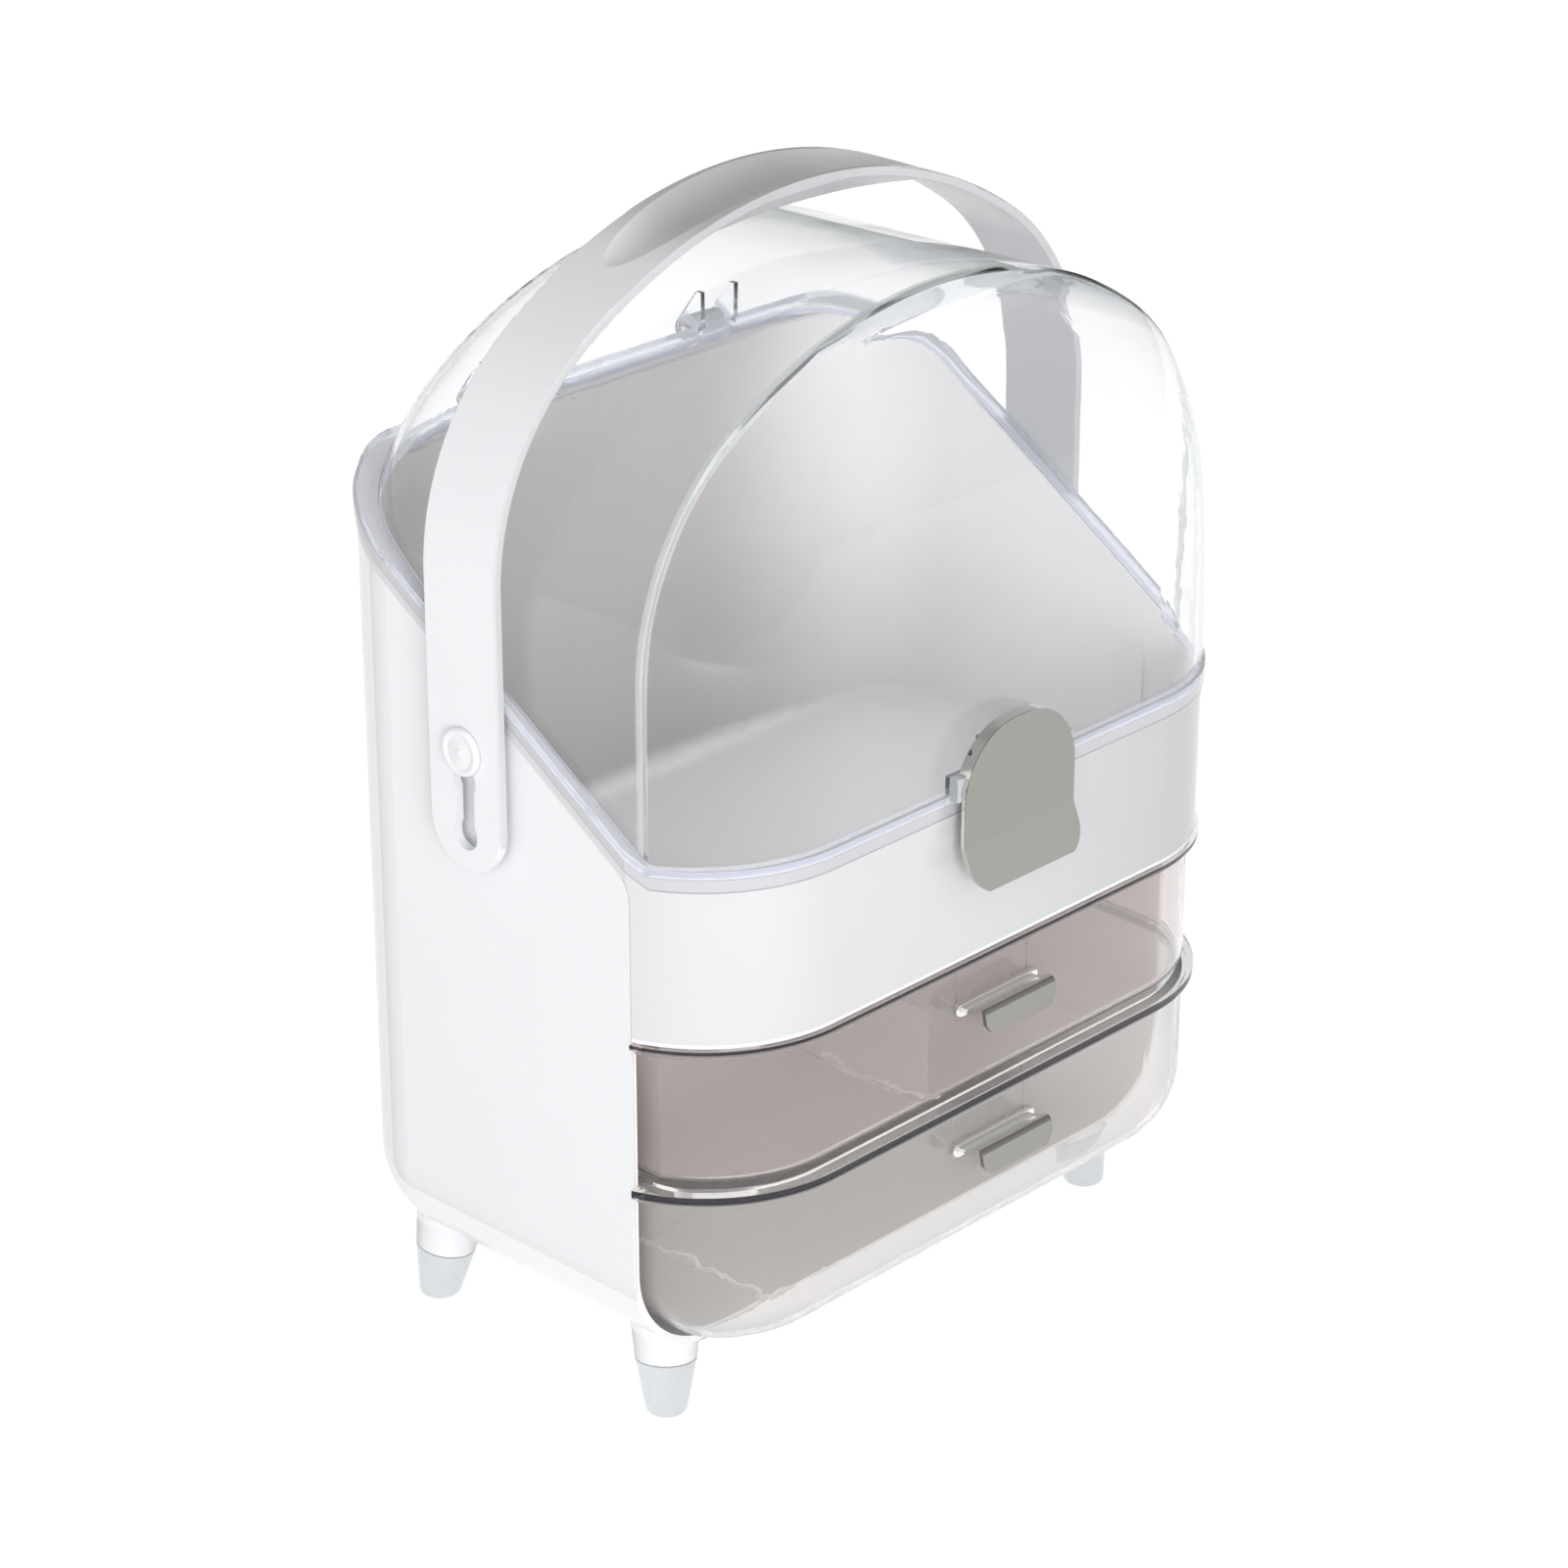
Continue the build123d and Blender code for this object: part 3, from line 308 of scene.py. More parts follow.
class VanityStudio(bpy.types.PropertyGroup):
    """Light and camera."""

    key: bpy.props.FloatProperty(
        name="Key", description="Power of the large lamp on the left",
        unit="POWER", default=5.0, min=0,
    )
    fill: bpy.props.FloatProperty(
        name="Fill", description="Power of the large lamp in front",
        unit="POWER", default=20.0, min=0,
    )
    sky: bpy.props.FloatProperty(
        name="Sky", description="Strength of the surround where it is brightest",
        default=0.80, min=0,
    )
    sky_far: bpy.props.FloatProperty(
        name="Far sky", description="Strength of the surround where it is darkest",
        default=0.30, min=0,
    )
    floor_glow: bpy.props.FloatProperty(
        name="Floor glow", description="Light of the floor sheet as it is seen",
        default=0.60, min=0,
    )
    floor_bounce: bpy.props.FloatProperty(
        name="Floor bounce", description="Light of the floor sheet that reaches the case",
        default=0.05, min=0,
    )
    lens: bpy.props.FloatProperty(
        name="Lens", description="Focal length of the camera in millimetres",
        default=104.95, min=10,
    )


# Node trees

class NodeWork:
    """One node tree, and short words for the nodes that go into it."""

    def __init__(self, tree):
        self.tree = tree

    def add(self, kind, **settings):
        """A new node with settings such as its operation."""
        node = self.tree.nodes.new("ShaderNode" + kind)
        for name, value in settings.items():
            setattr(node, name, value)
        return node

    def put(self, value, socket):
        """A socket takes a link where the value is a socket, and else holds the value itself."""
        if isinstance(value, bpy.types.NodeSocket):
            self.tree.links.new(value, socket)
        else:
            socket.default_value = value

    def math(self, operation, *values):
        node = self.add("Math", operation=operation)
        for value, socket in zip(values, node.inputs):
            self.put(value, socket)
        return node.outputs[0]

    def chain(self, operation, first, *others):
        """One operation carried on from value to value."""
        for other in others:
            first = self.math(operation, first, other)
        return first

    def product(self, *values):
        return self.chain("MULTIPLY", *values)

    def largest(self, *values):
        return self.chain("MAXIMUM", *values)

    def less(self, value, taken_off):
        return self.math("SUBTRACT", value, taken_off)

    def below(self, value, limit):
        """One where the value is under the limit, nothing elsewhere."""
        return self.math("LESS_THAN", value, limit)

    def above(self, value, limit):
        """One where the value is over the limit, nothing elsewhere."""
        return self.math("GREATER_THAN", value, limit)

    def distance(self, *offsets):
        """Square root of the sum of the squares of the offsets."""
        squares = [self.product(offset, offset) for offset in offsets]
        return self.math("SQRT", self.chain("ADD", *squares))

    def span(self, value, low, high, start=0.0, end=1.0):
        """The value carried from low..high to start..end, smoothly, and held beyond."""
        node = self.add("MapRange", interpolation_type="SMOOTHSTEP")
        for given, socket in zip((value, low, high, start, end), node.inputs):
            self.put(given, socket)
        return node.outputs[0]

    def within(self, value, low, high, soft=0.0002):
        """One between low and high, nothing outside, with a soft step."""
        rise = self.span(value, low - soft, low + soft)
        fall = self.span(value, high - soft, high + soft, 1.0, 0.0)
        return self.product(rise, fall)


class Finish(NodeWork):
    """A material with one Principled shader, whose patterns are laid out on the object's own X, Y and Z."""

    def __init__(self, name):
        self.material = bpy.data.materials.new(name)
        self.material.use_nodes = True
        super().__init__(self.material.node_tree)
        self.tree.nodes.clear()
        self.out = self.add("OutputMaterial")
        self.shader = self.add("BsdfPrincipled")
        self.put(self.shader.outputs["BSDF"], self.out.inputs["Surface"])
        self.place = self.add("TexCoord").outputs["Object"]
        axes = self.add("SeparateXYZ")
        self.put(self.place, axes.inputs[0])
        self.x, self.y, self.z = axes.outputs

    def set(self, **values):
        """Sockets of the shader by name, with _ for a space."""
        for name, value in values.items():
            self.put(value, self.shader.inputs[name.replace("_", " ")])

    def aside(self):
        """Distance from the middle plane, alike on both sides."""
        return self.math("ABSOLUTE", self.x)

    def noise(self, scale, detail=2.0, roughness=0.5):
        node = self.add("TexNoise")
        self.put(self.place, node.inputs["Vector"])
        self.put(scale, node.inputs["Scale"])
        self.put(detail, node.inputs["Detail"])
        self.put(roughness, node.inputs["Roughness"])
        return node.outputs["Fac"]

    def wander(self, rough, least, most, scale, detail, part=GLOSS):
        """Roughness that wanders between two multiples of the given one."""
        return self.span(self.noise(scale, detail), *part, rough * least, rough * most)

    def mix(self, share, first, second):
        """The second colour by its share over the first."""
        node = self.add("Mix", data_type="RGBA")
        self.put(share, node.inputs["Factor"])
        colour_inputs = [socket for socket in node.inputs if socket.type == "RGBA"]
        for colour, socket in zip((first, second), colour_inputs):
            linked = isinstance(colour, bpy.types.NodeSocket)
            self.put(colour if linked else (*colour, 1), socket)
        return next(socket for socket in node.outputs if socket.type == "RGBA")

    def bump(self, height, strength, distance):
        node = self.add("Bump")
        self.put(height, node.inputs["Height"])
        self.put(strength, node.inputs["Strength"])
        self.put(distance, node.inputs["Distance"])
        self.put(node.outputs["Normal"], self.shader.inputs["Normal"])

    def edge_on(self):
        """Nothing where the surface is seen square on, one where it is seen edge on."""
        node = self.add("LayerWeight")
        self.put(0.5, node.inputs["Blend"])
        return node.outputs["Facing"]

    def let_lamps_through(self, tint):
        """Rays from lamps pass straight through, tinted, so that what is behind is lit."""
        passing = self.add("BsdfTransparent")
        self.put((*tint, 1), passing.inputs["Color"])
        either = self.add("MixShader")
        self.put(self.add("LightPath").outputs["Is Shadow Ray"], either.inputs[0])
        self.put(self.shader.outputs["BSDF"], either.inputs[1])
        self.put(passing.outputs[0], either.inputs[2])
        self.put(either.outputs[0], self.out.inputs["Surface"])


def shade(colour, factor):
    return tuple(min(1.0, part * factor) for part in colour)


def above_rim(finish):
    """Height above the body's rim line, level in front and sloping behind the kink."""
    behind = finish.largest(finish.less(finish.y, KINK_Y), 0.0)
    return finish.less(finish.less(finish.z, RIM_Z), finish.product(behind, RIM_SLOPE))


def inside_plan(finish, half, back, corner, bow):
    """One inside the body's plan outline: distances from the shared centres of its arcs."""
    wide = finish.aside()
    ahead = finish.math("MINIMUM", finish.less(finish.y, BOW_Y), 0.0)
    beyond = finish.largest(finish.less(wide, BOW_STRAIGHT), 0.0)
    in_bow = finish.below(finish.distance(ahead, beyond), bow)
    sideways = finish.largest(finish.less(wide, half - corner), 0.0)
    behind = finish.largest(finish.less(finish.y, back - corner), 0.0)
    in_corner = finish.below(finish.distance(sideways, behind), corner)
    return finish.product(finish.largest(in_bow, finish.above(finish.y, BOW_Y)), in_corner)


# Plastics and plating

def moulded(name, colour, rough, grain):
    """White moulded plastic: faint clouding, a fine grain, and gloss that wanders."""
    finish = Finish(name)
    cloud = finish.span(finish.noise(scale=9.0, detail=3.0), *CLOUDS)
    speck = finish.span(finish.noise(scale=1400.0), *SPECKS, 0.0, SPECK_SHARE)
    clouded = finish.mix(cloud, shade(colour, CLOUD_SHADE), colour)
    finish.colour = finish.mix(speck, clouded, shade(colour, SPECK_SHADE))
    gloss = finish.wander(rough, least=0.85, most=1.2, scale=28.0, detail=4.0)
    finish.set(Base_Color=finish.colour, Roughness=gloss, IOR=WHITE_BEND)
    finish.set(Coat_Weight=0.25, Coat_Roughness=0.08)
    finish.bump(finish.noise(grain, detail=3.0), strength=0.02, distance=0.0002)
    return finish


def clear_plastic(name, tint, deep, rough, bend, clarity):
    """Clear moulded plastic: refracts, darkens where it is seen edge on, and is never quite even."""
    finish = Finish(name)
    finish.colour = finish.mix(finish.span(finish.edge_on(), *CLEAR_EDGE), tint, deep)
    gloss = finish.wander(rough, least=0.6, most=1.6, scale=40.0, detail=3.0, part=WIPES)
    finish.set(Base_Color=finish.colour, Roughness=gloss, IOR=bend, Transmission_Weight=clarity)
    finish.bump(finish.noise(scale=16.0), strength=0.06, distance=0.004)
    finish.let_lamps_through(tuple(math.sqrt(part) for part in tint))
    return finish


def smoky_plastic(name, smoke):
    """Clear plastic with a smoky tint, a small share of which is lit as solid plastic is."""
    deep = shade(smoke, SMOKY_DEEPER)
    return clear_plastic(name, smoke, deep, rough=0.03, bend=SMOKY_BEND, clarity=SMOKY_CLARITY)


def plated(name, colour, rough, wave):
    """Plating over plastic: bright, with a slow ripple and fine cloudy wipes."""
    finish = Finish(name)
    wipe = finish.span(finish.noise(scale=90.0, detail=4.0, roughness=0.6), *WIPES)
    finish.colour = finish.mix(wipe, colour, shade(colour, WIPE_SHADE))
    gloss = finish.wander(rough, least=0.7, most=1.4, scale=160.0, detail=3.0)
    finish.set(Base_Color=finish.colour, Metallic=1.0, Roughness=gloss)
    finish.bump(finish.noise(wave), strength=0.03, distance=0.0006)
    return finish


def casing_white(colours):
    """Glossy white, with painted shade where it is seen edge on, a brown line of painted shadow in the gap
    on its front edge, and a paler white inside, painted light for the bay.
    """
    casing = moulded("white_shell", colours.shell, rough=0.22, grain=SHELL_GRAIN)
    # Painted shade where the casing is seen edge on, as on its rounded back corners
    outside = casing.mix(casing.span(casing.edge_on(), *CASING_EDGE), casing.colour, GRAZING_SHADE)
    # Painted shadow in the gap: a brown line on the inner part of the casing's front edge
    front_edge = casing.below(casing.y, CASING_FRONT + GAP_SHADOW_DEPTH)
    gap_shadow = casing.product(front_edge, casing.below(casing.aside(), BODY_HALF - GAP_SHADOW_INSET))
    outside = casing.mix(gap_shadow, outside, GAP_SHADOW_BROWN)
    # Painted light: the casing's inside takes the paler bay white
    bay = casing.product(
        casing.below(casing.aside(), BODY_HALF - WALL / 2),
        casing.below(casing.y, BACK_Y - WALL / 2),
        casing.above(casing.z, FLOOR_TOP - WALL / 2),
    )
    casing.set(Base_Color=casing.mix(bay, outside, colours.bay))
    return casing


def tub_white(colours):
    """White with a grey band along the rim and a painted shadow line under it, painted shade to the right
    outside, painted light on its underside, and painted light and shade inside: paler to the right and on
    the floor, warm grey on the left.
    """
    tub = moulded("white_tub", colours.tub, rough=0.16, grain=SHELL_GRAIN)
    # Painted shade: the tub's outside darkens to the right
    darker = tub.span(tub.x, *TUB_SHADE_X)
    outside = tub.mix(darker, tub.colour, shade(colours.tub, TUB_SHADE))
    rim = above_rim(tub)
    outside = tub.mix(tub.within(rim, *TUB_BAND), outside, RIM_BAND_GREY)
    # Painted shadow in the gap under the rim's grey band
    outside = tub.mix(tub.within(rim, *TUB_GAP_SHADOW_LINE, soft=0.0001), outside, RIM_GAP_SHADOW)
    # Painted light: the tub's underside takes the paler bay white
    outside = tub.mix(tub.below(tub.z, TUB_FOOT + WALL / 2), outside, colours.bay)
    # Painted light and shade inside: paler walls to the right and a paler floor, over warm grey shade on
    # the left
    near_floor = tub.span(tub.z, *(TUB_FOOT + height for height in FLOOR_LIT_HEIGHT))
    floor_lit = tub.product(near_floor, tub.span(tub.x, *FLOOR_LIT_X, 0.4, 1.0))
    lit = tub.largest(tub.span(tub.x, *WALLS_LIT_X), floor_lit)
    walls = tub.mix(lit, colours.tub_inside_shaded, colours.tub_inside_lit)
    inset = TUB_INSET + TUB_WALL / 2
    inner = inside_plan(
        tub, BODY_HALF - inset, BACK_Y - inset, BACK_RADIUS - inset, BOW_RADIUS - TUB_WALL / 2)
    tub.set(Base_Color=tub.mix(inner, outside, walls))
    return tub


def lid_clear(colours):
    """Clear, with painted light in its flange: a violet line in a pale band; and painted light at its
    crease and its latch lugs, which turn pale grey and less clear.
    """
    lid = clear_plastic(
        "clear_lid", colours.clear, deep=LID_EDGE_GREY, rough=0.02, bend=LID_BEND, clarity=1.0)
    rim = above_rim(lid)
    thick = lid.within(rim, *LID_THICK)
    violet = lid.within(rim, *LID_VIOLET)
    ridge = lid.within(lid.y, CREASE_Y - CREASE_AHEAD, CREASE_Y + CREASE_BEHIND)
    crease = lid.product(ridge, lid.above(rim, CREASE_OVER_RIM))
    behind_clasp = lid.below(lid.y, TAB_LOW.y + LUG_DEPTH)
    lugs = lid.product(behind_clasp, lid.below(lid.aside(), TAB_HIGH.x + LUG_SIDE_GAP))
    # Painted light in the flange: a pale band with a violet line in it
    colour = lid.mix(thick, lid.colour, LID_FLANGE_PAINTED_LIGHT)
    colour = lid.mix(violet, colour, colours.flange)
    # Painted light: the crease and the latch lugs turn pale grey, where the clear lid shows dark
    colour = lid.mix(lid.largest(crease, lugs), colour, LID_PAINTED_PALE_GREY)
    # Painted light: the flange, crease and lugs let less through, so that they read pale
    cloudy = lid.largest(
        lid.product(thick, FLANGE_PAINTED_LIGHT_SHARE),
        lid.product(crease, CREASE_PAINTED_LIGHT_SHARE),
        lid.product(lugs, LUG_PAINTED_LIGHT_SHARE),
    )
    lid.set(Base_Color=colour, Transmission_Weight=lid.less(1.0, cloudy))
    return lid


def drawer_smoky(name, smoke, rim_shade_colour, painted_end_tone, dark_band, foot_shaded, streak):
    """Smoky, with painted shade in its thick rim, a painted end tone (light on the upper drawer, shade
    along the lower one's right end and foot), and a wavy painted highlight over its floor.

    The line runs along Y, and streak holds its X and its front and back ends.
    """
    low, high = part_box(name)
    drawer = smoky_plastic("smoky_" + name, smoke)
    # Painted shade: a dark band in the thick rim
    rim = drawer.within(drawer.z, high.z - dark_band, high.z - BAND_SKIN, soft=BAND_SKIN)
    # Painted tone: light at the upper drawer's right end, shade at the lower drawer's right end and along
    # its foot
    toned = drawer.span(drawer.x, *DRAWER_END_X)
    if foot_shaded:
        foot = drawer.span(drawer.z, *(low.z + height for height in DRAWER_FOOT_HEIGHT), 1.0, 0.0)
        toned = drawer.largest(toned, foot)
    colour = drawer.mix(toned, drawer.colour, painted_end_tone)
    colour = drawer.mix(rim, colour, rim_shade_colour)
    # Painted highlight: a wavy light line over the floor, where the edges catch the light
    streak_x, streak_front, streak_back = streak
    waver = drawer.noise(scale=70.0, detail=3.0)
    wobble = drawer.span(waver, *GLOSS, -STREAK_WOBBLE, STREAK_WOBBLE)
    apart = drawer.math("ABSOLUTE", drawer.math("ADD", drawer.less(drawer.x, streak_x), wobble))
    line = drawer.product(
        drawer.span(apart, *STREAK_HALF, 1.0, 0.0),
        drawer.within(drawer.y, streak_front, streak_back, soft=0.002),
        drawer.below(drawer.z, low.z + STREAK_HEIGHT),
    )
    clarity = drawer.less(SMOKY_CLARITY, drawer.product(line, STREAK_HIGHLIGHT_SHARE))
    drawer.set(Base_Color=drawer.mix(line, colour, STREAK_HIGHLIGHT), Transmission_Weight=clarity)
    return drawer


def clasp_chrome(colours):
    """Bright plating, with painted reflection: brighter on the lip and brightest on the sides of the
    upright plate.
    """
    clasp = plated("bright_clasp", colours.chrome, rough=0.06, wave=BRIGHT_WAVE)
    # Painted reflection: the lip and the sides of the plate are brightened
    lip = clasp.below(clasp.z, TAB_BEND_Z)
    side = clasp.product(clasp.above(clasp.y, TAB_FACE_Y + TAB_FACE_SKIN), clasp.less(1.0, lip))
    colour = clasp.mix(lip, clasp.colour, shade(colours.chrome, LIP_REFLECTION))
    clasp.set(Base_Color=clasp.mix(side, colour, shade(colours.chrome, CLASP_SIDE_REFLECTION)))
    return clasp


def pull_chrome(colours):
    """Bright plating, dark on the curl, with a painted reflection that lightens the finger shelf behind it.
    """
    pull = plated("bright_pulls", colours.chrome, rough=0.09, wave=BRIGHT_WAVE)
    # Painted reflection on the finger shelf
    shelf = pull.above(pull.y, PULL_SHELF_Y)
    pull.set(Base_Color=pull.mix(shelf, pull.colour, PULL_SHELF_REFLECTION))
    return pull


def handle_white(colours, mark_radius):
    """Satin white, with painted shade to the right, in the thumb trough and on the front edge, and a
    moulding mark drawn as a grey dot of painted shade.
    """
    band = moulded("satin_handle", colours.handle, rough=0.36, grain=HANDLE_GRAIN)
    # Painted shade: the handle darkens to the right
    darker = band.span(band.x, *HANDLE_SHADE_X)
    body = band.mix(darker, band.colour, shade(colours.handle, HANDLE_SHADE))
    # Painted shade in the thumb trough
    trough = band.product(
        band.within(band.x, *TROUGH_X, soft=0.02), band.above(band.z, TROUGH_FOOT_Z))
    body = band.mix(trough, body, shade(colours.handle, TROUGH_SHADE))
    # Painted shade on the handle's front edge
    front = band.below(band.y, HANDLE_FRONT_Y + HANDLE_FRONT_SKIN)
    body = band.mix(band.product(front, HANDLE_FRONT_SHARE), body, HANDLE_FRONT_SHADE)
    # Moulding mark, drawn as a grey dot of painted shade in place of its relief
    offsets = [band.less(axis, centre) for axis, centre in zip((band.x, band.y, band.z), GATE_MARK)]
    core = mark_radius * 0.7
    mark = band.span(band.distance(*offsets), core, mark_radius, GATE_MARK_SHARE, 0.0)
    band.set(Base_Color=band.mix(mark, body, GATE_MARK_SHADE))
    return band


def wear(finish, *names):
    """CAD nodes take a finish in place of their own materials."""
    for name in names:
        mesh = NODES[name].data
        mesh.materials.clear()
        mesh.materials.append(finish.material)


# Surfaces

def grid_mesh(name, points, closed=False):
    """Mesh from a (rows, columns, 3) array, with quads between neighbours.

    In a closed one the last column meets the first, and a fan round the mean point shuts each end row.
    """
    rows, columns, _ = points.shape
    index = np.arange(rows * columns).reshape(rows, columns)
    left, right = index[:, :-1], index[:, 1:]
    if closed:
        left, right = index, np.roll(index, -1, axis=1)
    faces = np.stack([left[:-1], right[:-1], right[1:], left[1:]], axis=-1).reshape(-1, 4).tolist()
    vertices = points.reshape(-1, 3)
    if closed:
        vertices = np.vstack([vertices, points[0].mean(axis=0), points[-1].mean(axis=0)])
        pole = np.full(columns, rows * columns)
        faces += np.stack([right[0], left[0], pole], axis=-1).tolist()
        faces += np.stack([left[-1], right[-1], pole + 1], axis=-1).tolist()
    mesh = bpy.data.meshes.new(name)
    mesh.from_pydata(vertices.tolist(), [], faces)
    mesh.validate()
    mesh.shade_smooth()
    piece = bpy.data.objects.new(name, mesh)
    bpy.context.scene.collection.objects.link(piece)
    return piece


def turned(name, profile, side, steps=96):
    """Solid of revolution about the pivots' axis: a profile of (reach along X, radius), carried round."""
    along, radius = np.array(profile).T
    angle = np.linspace(0, 2 * math.pi, steps, endpoint=False)
    points = np.empty((len(along), steps, 3))
    points[..., 0] = side * along[:, None]
    points[..., 1] = PIVOT_Y + radius[:, None] * np.cos(angle) * side
    points[..., 2] = PIVOT_Z + radius[:, None] * np.sin(angle)
    return grid_mesh(name, points, closed=True)


def pivot_profile(groove, dot):
    """From the neck's end to the head's: (reach along X, radius), with a small bevel at each edge.

    The head's face is dished, the groove is pressed a bevel deeper, and the dot rises to the head's end.
    """
    neck, barrel, head = PIVOT_NECK_RADIUS, PIVOT_BARREL_RADIUS, PIVOT_HEAD_RADIUS
    bevel = PIVOT_BEVEL
    start, end = PIVOT_LOW.x, PIVOT_HIGH.x
    shoulder = start + PIVOT_NECK_LENGTH
    under_head = end - PIVOT_HEAD_HEIGHT
    face = end - PIVOT_DISH
    return [
        (start, 4 * bevel), (start, neck - bevel), (start + bevel, neck),
        (shoulder - bevel / 2, neck), (shoulder, neck + bevel),
        (shoulder, barrel - bevel), (shoulder + bevel, barrel),
        (under_head - bevel, barrel), (under_head, barrel + bevel),
        (under_head, head - bevel), (under_head + bevel, head),
        *((end - depth, head - step) for depth, step in PIVOT_SHOULDER),
        (end - bevel, groove + 7 * bevel), (face - bevel, groove + 3 * bevel),
        (face - bevel, groove - bevel), (face, groove - 4 * bevel),
        (face, dot + 4 * bevel), (face + bevel, dot + bevel),
        (end - bevel / 2, dot), (end, dot - 3 * bevel), (end, 2 * bevel),
    ]


# Studio

def lay_floor(studio):
    """Flat sheet that glows for the eye, and much less for what stands on it."""
    paint = Finish("pale_floor")
    lighting = paint.add("LightPath").outputs["Is Diffuse Ray"]
    paint.set(
        Base_Color=paint.mix(paint.noise(scale=3.0), FLOOR_DIM, FLOOR_PALE),
        Roughness=0.6,
        Emission_Color=(1, 1, 1, 1),
        Emission_Strength=paint.span(lighting, 0.0, 1.0, studio.floor_glow, studio.floor_bounce),
    )
    reach = np.linspace(-FLOOR_HALF, FLOOR_HALF, FLOOR_POINTS)
    across, along = np.meshgrid(reach, reach)
    floor = grid_mesh("studio_floor", np.stack([across, along, np.zeros_like(across)], axis=-1))
    floor.data.materials.append(paint.material)


def hang_surround(studio):
    """White to the eye and through clear plastic; its light fades from one side to the other."""
    world = bpy.data.worlds.new("soft_surround")
    world.use_nodes = True
    sky = NodeWork(world.node_tree)
    background = sky.tree.nodes["Background"]
    toward = sky.add("VectorMath", operation="DOT_PRODUCT")
    sky.put(sky.add("TexCoord").outputs["Generated"], toward.inputs[0])
    sky.put(Vector(BRIGHT_SKY_TOWARD).normalized(), toward.inputs[1])
    fade = sky.span(toward.outputs["Value"], *SKY_FADE, studio.sky_far, studio.sky)
    ray = sky.add("LightPath").outputs
    seen = sky.largest(ray["Is Camera Ray"], ray["Is Transmission Ray"])
    sky.put((1.0, 1.0, 1.0, 1), background.inputs["Color"])
    sky.put(sky.largest(fade, seen), background.inputs["Strength"])
    bpy.context.scene.world = world


def hang_lamp(name, place, size, power, through_clear):
    """Square soft lamp, turned to the case, that no gloss mirrors."""
    light = bpy.data.lights.new(name, "AREA")
    light.shape = "SQUARE"
    light.size = size
    light.energy = power
    lamp = bpy.data.objects.new(name, light)
    lamp.visible_glossy = False
    lamp.visible_transmission = through_clear
    lamp.location = place
    lamp.rotation_euler = (Vector(LAMP_TARGET) - Vector(place)).to_track_quat("-Z", "Y").to_euler()
    bpy.context.scene.collection.objects.link(lamp)


def place_camera(studio):
    """Pinhole camera fitted to the photograph."""
    eye = bpy.data.cameras.new("photo_camera")
    eye.sensor_width = 36.0
    eye.lens = studio.lens
    eye.clip_start = 0.05
    eye.clip_end = 50.0
    camera = bpy.data.objects.new("photo_camera", eye)
    camera.location = CAMERA_PLACE
    camera.rotation_euler = (math.radians(90 - CAMERA_DOWN), 0, math.radians(CAMERA_HEADING))
    bpy.context.scene.collection.objects.link(camera)
    bpy.context.scene.camera = camera
    bpy.context.scene.view_settings.view_transform = "Standard"


# Operators

class VANITY_OT_shell(bpy.types.Operator):
    """Finish the casing and the tub in glossy white, with painted light and shade on both, and warm grey
    painted shade inside the tub
    """

    bl_idname = "vanity.shell"
    bl_label = "White casing and tub"
    bl_options = {"REGISTER", "UNDO"}

    def execute(self, context):
        colours = context.scene.vanity_colours
        wear(casing_white(colours), "outer_casing")
        wear(tub_white(colours), "upper_tub")
        return {"FINISHED"}


class VANITY_OT_lid(bpy.types.Operator):
    """Finish the lid in clear plastic with painted violet light in its flange"""

    bl_idname = "vanity.lid"
    bl_label = "Clear lid"
    bl_options = {"REGISTER", "UNDO"}

    def execute(self, context):
        wear(lid_clear(context.scene.vanity_colours), "lid")
        return {"FINISHED"}


class VANITY_OT_drawers(bpy.types.Operator):
    """Finish the drawers and the divider in clear smoky plastic with painted shade in their thick rims"""

    bl_idname = "vanity.drawers"
    bl_label = "Smoky drawers"
    bl_options = {"REGISTER", "UNDO"}

    def execute(self, context):
        colours = context.scene.vanity_colours
        upper = drawer_smoky(
            "upper_drawer", colours.smoke_upper, colours.rim_shade, UPPER_END_PAINTED_LIGHT,
            UPPER_BAND, foot_shaded=False, streak=UPPER_STREAK,
        )
        lower = drawer_smoky(
            "lower_drawer", colours.smoke_lower, colours.rim_shade, LOWER_END_PAINTED_SHADE,
            LOWER_BAND, foot_shaded=True, streak=LOWER_STREAK,
        )
        wear(upper, "upper_drawer")
        wear(lower, "lower_drawer")
        wear(smoky_plastic("smoky_divider", colours.smoke_upper), "upper_divider")
        return {"FINISHED"}


class VANITY_OT_plating(bpy.types.Operator):
    """Finish the clasp, the pulls, the foot tips and the pins in plated metal"""

    bl_idname = "vanity.plating"
    bl_label = "Plated fittings"
    bl_options = {"REGISTER", "UNDO"}

    def execute(self, context):
        colours = context.scene.vanity_colours
        wear(clasp_chrome(colours), "latch_tab")
        wear(pull_chrome(colours), "upper_pull", "lower_pull")
        satin = plated("satin_plating", colours.silver, rough=0.20, wave=SATIN_WAVE)
        wear(satin, *(name for name in NODES if name.startswith("foot_tip")))
        wire = plated("drawn_wire", WIRE_GREY, rough=0.3, wave=WIRE_WAVE)
        wear(wire, "hinge_pin_left", "hinge_pin_right", "latch_pin")
        return {"FINISHED"}


class VANITY_OT_handle(bpy.types.Operator):
    """Finish the handle in satin white with its moulding mark, and the clips of its pivots"""

    bl_idname = "vanity.handle"
    bl_label = "Handle"
    bl_options = {"REGISTER", "UNDO"}

    def execute(self, context):
        band = handle_white(context.scene.vanity_colours, context.scene.vanity_sizes.gate_mark)
        wear(band, "handle", "pivot_clip_left", "pivot_clip_right")
        return {"FINISHED"}


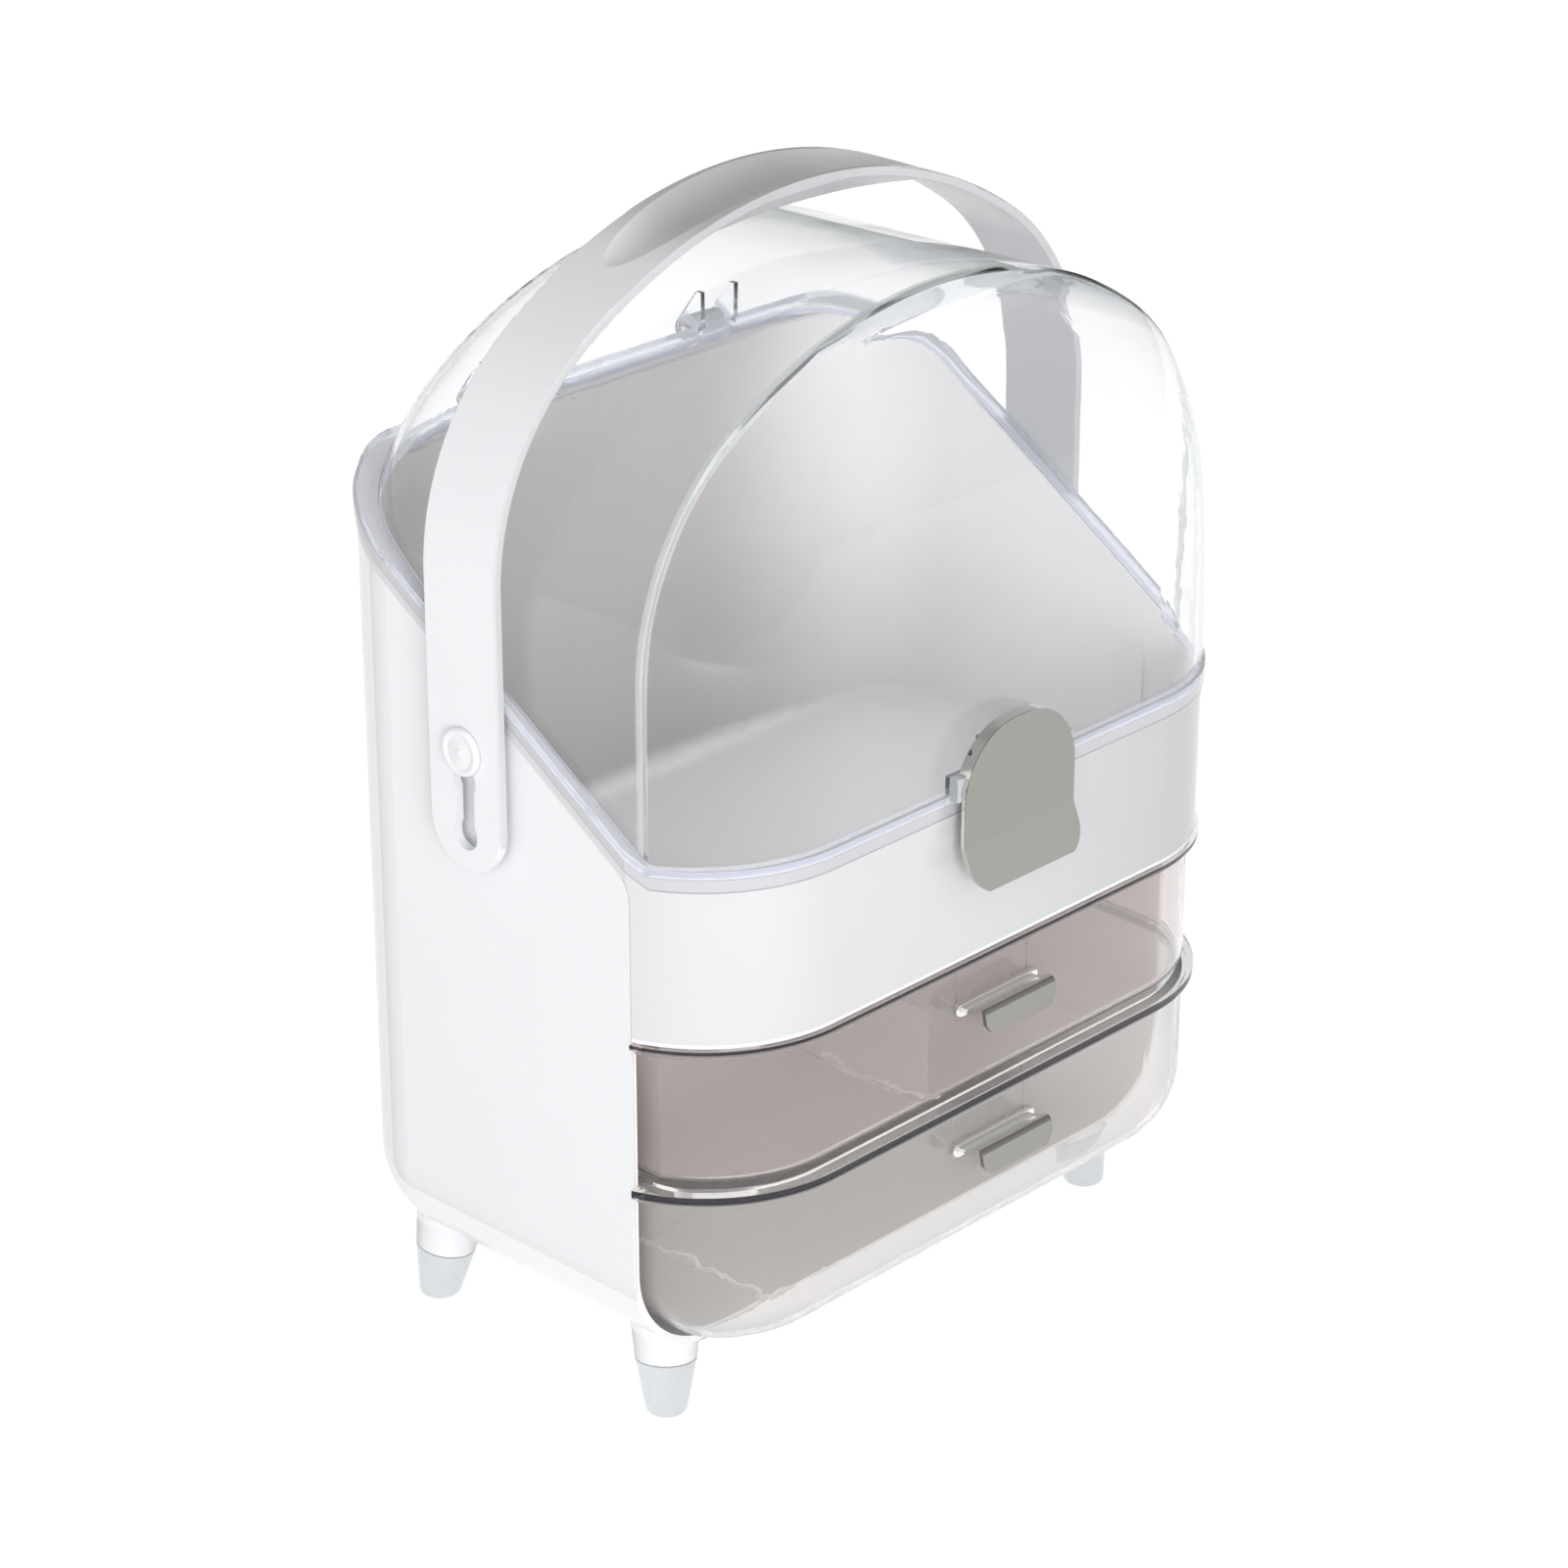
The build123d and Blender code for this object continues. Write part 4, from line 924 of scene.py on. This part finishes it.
class VANITY_OT_pivots(bpy.types.Operator):
    """Turn the two handle pivots, each with a pressed ring and a dot in its head"""

    bl_idname = "vanity.pivots"
    bl_label = "Handle pivots"
    bl_options = {"REGISTER", "UNDO"}

    def execute(self, context):
        colours, sizes = context.scene.vanity_colours, context.scene.vanity_sizes
        finish = moulded("satin_pivot", colours.handle, rough=0.3, grain=HANDLE_GRAIN)
        profile = pivot_profile(sizes.pivot_groove, sizes.pivot_dot)
        for side_name, side in (("left", -1), ("right", 1)):
            pivot = turned("turned_pivot_" + side_name, profile, side)
            pivot.data.materials.append(finish.material)
            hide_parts("handle_pivot_" + side_name)
            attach(pivot, "handle_pivots")
        return {"FINISHED"}


class VANITY_OT_studio(bpy.types.Operator):
    """Lay the pale floor, hang the surround and the soft lamps, and place the camera"""

    bl_idname = "vanity.studio"
    bl_label = "Studio"
    bl_options = {"REGISTER", "UNDO"}

    def execute(self, context):
        studio = context.scene.vanity_studio
        lay_floor(studio)
        hang_surround(studio)
        hang_lamp("key_lamp", KEY_PLACE, KEY_SIZE, studio.key, through_clear=True)
        hang_lamp("fill_lamp", FILL_PLACE, FILL_SIZE, studio.fill, through_clear=False)
        place_camera(studio)
        return {"FINISHED"}


STEPS = (
    VANITY_OT_shell,
    VANITY_OT_lid,
    VANITY_OT_drawers,
    VANITY_OT_plating,
    VANITY_OT_handle,
    VANITY_OT_pivots,
    VANITY_OT_studio,
)


class VANITY_PT_panel(bpy.types.Panel):
    """Steps that dress the vanity case"""

    bl_idname = "VANITY_PT_panel"
    bl_label = "Vanity case"
    bl_space_type = "VIEW_3D"
    bl_region_type = "UI"
    bl_category = "Vanity case"

    def draw(self, context):
        scene = context.scene
        for group in (scene.vanity_colours, scene.vanity_sizes, scene.vanity_studio):
            for name in group.__annotations__:
                self.layout.prop(group, name)
        for step in STEPS:
            self.layout.operator(step.bl_idname)


CLASSES = (VanityColours, VanitySizes, VanityStudio, *STEPS, VANITY_PT_panel)


def register():
    for cls in CLASSES:
        bpy.utils.register_class(cls)
    bpy.types.Scene.vanity_colours = bpy.props.PointerProperty(type=VanityColours)
    bpy.types.Scene.vanity_sizes = bpy.props.PointerProperty(type=VanitySizes)
    bpy.types.Scene.vanity_studio = bpy.props.PointerProperty(type=VanityStudio)


def unregister():
    del bpy.types.Scene.vanity_studio
    del bpy.types.Scene.vanity_sizes
    del bpy.types.Scene.vanity_colours
    for cls in reversed(CLASSES):
        bpy.utils.unregister_class(cls)


def main():
    register()
    for step in STEPS:
        group, name = step.bl_idname.split(".")
        getattr(getattr(bpy.ops, group), name)()


if __name__ == "__main__":
    main()
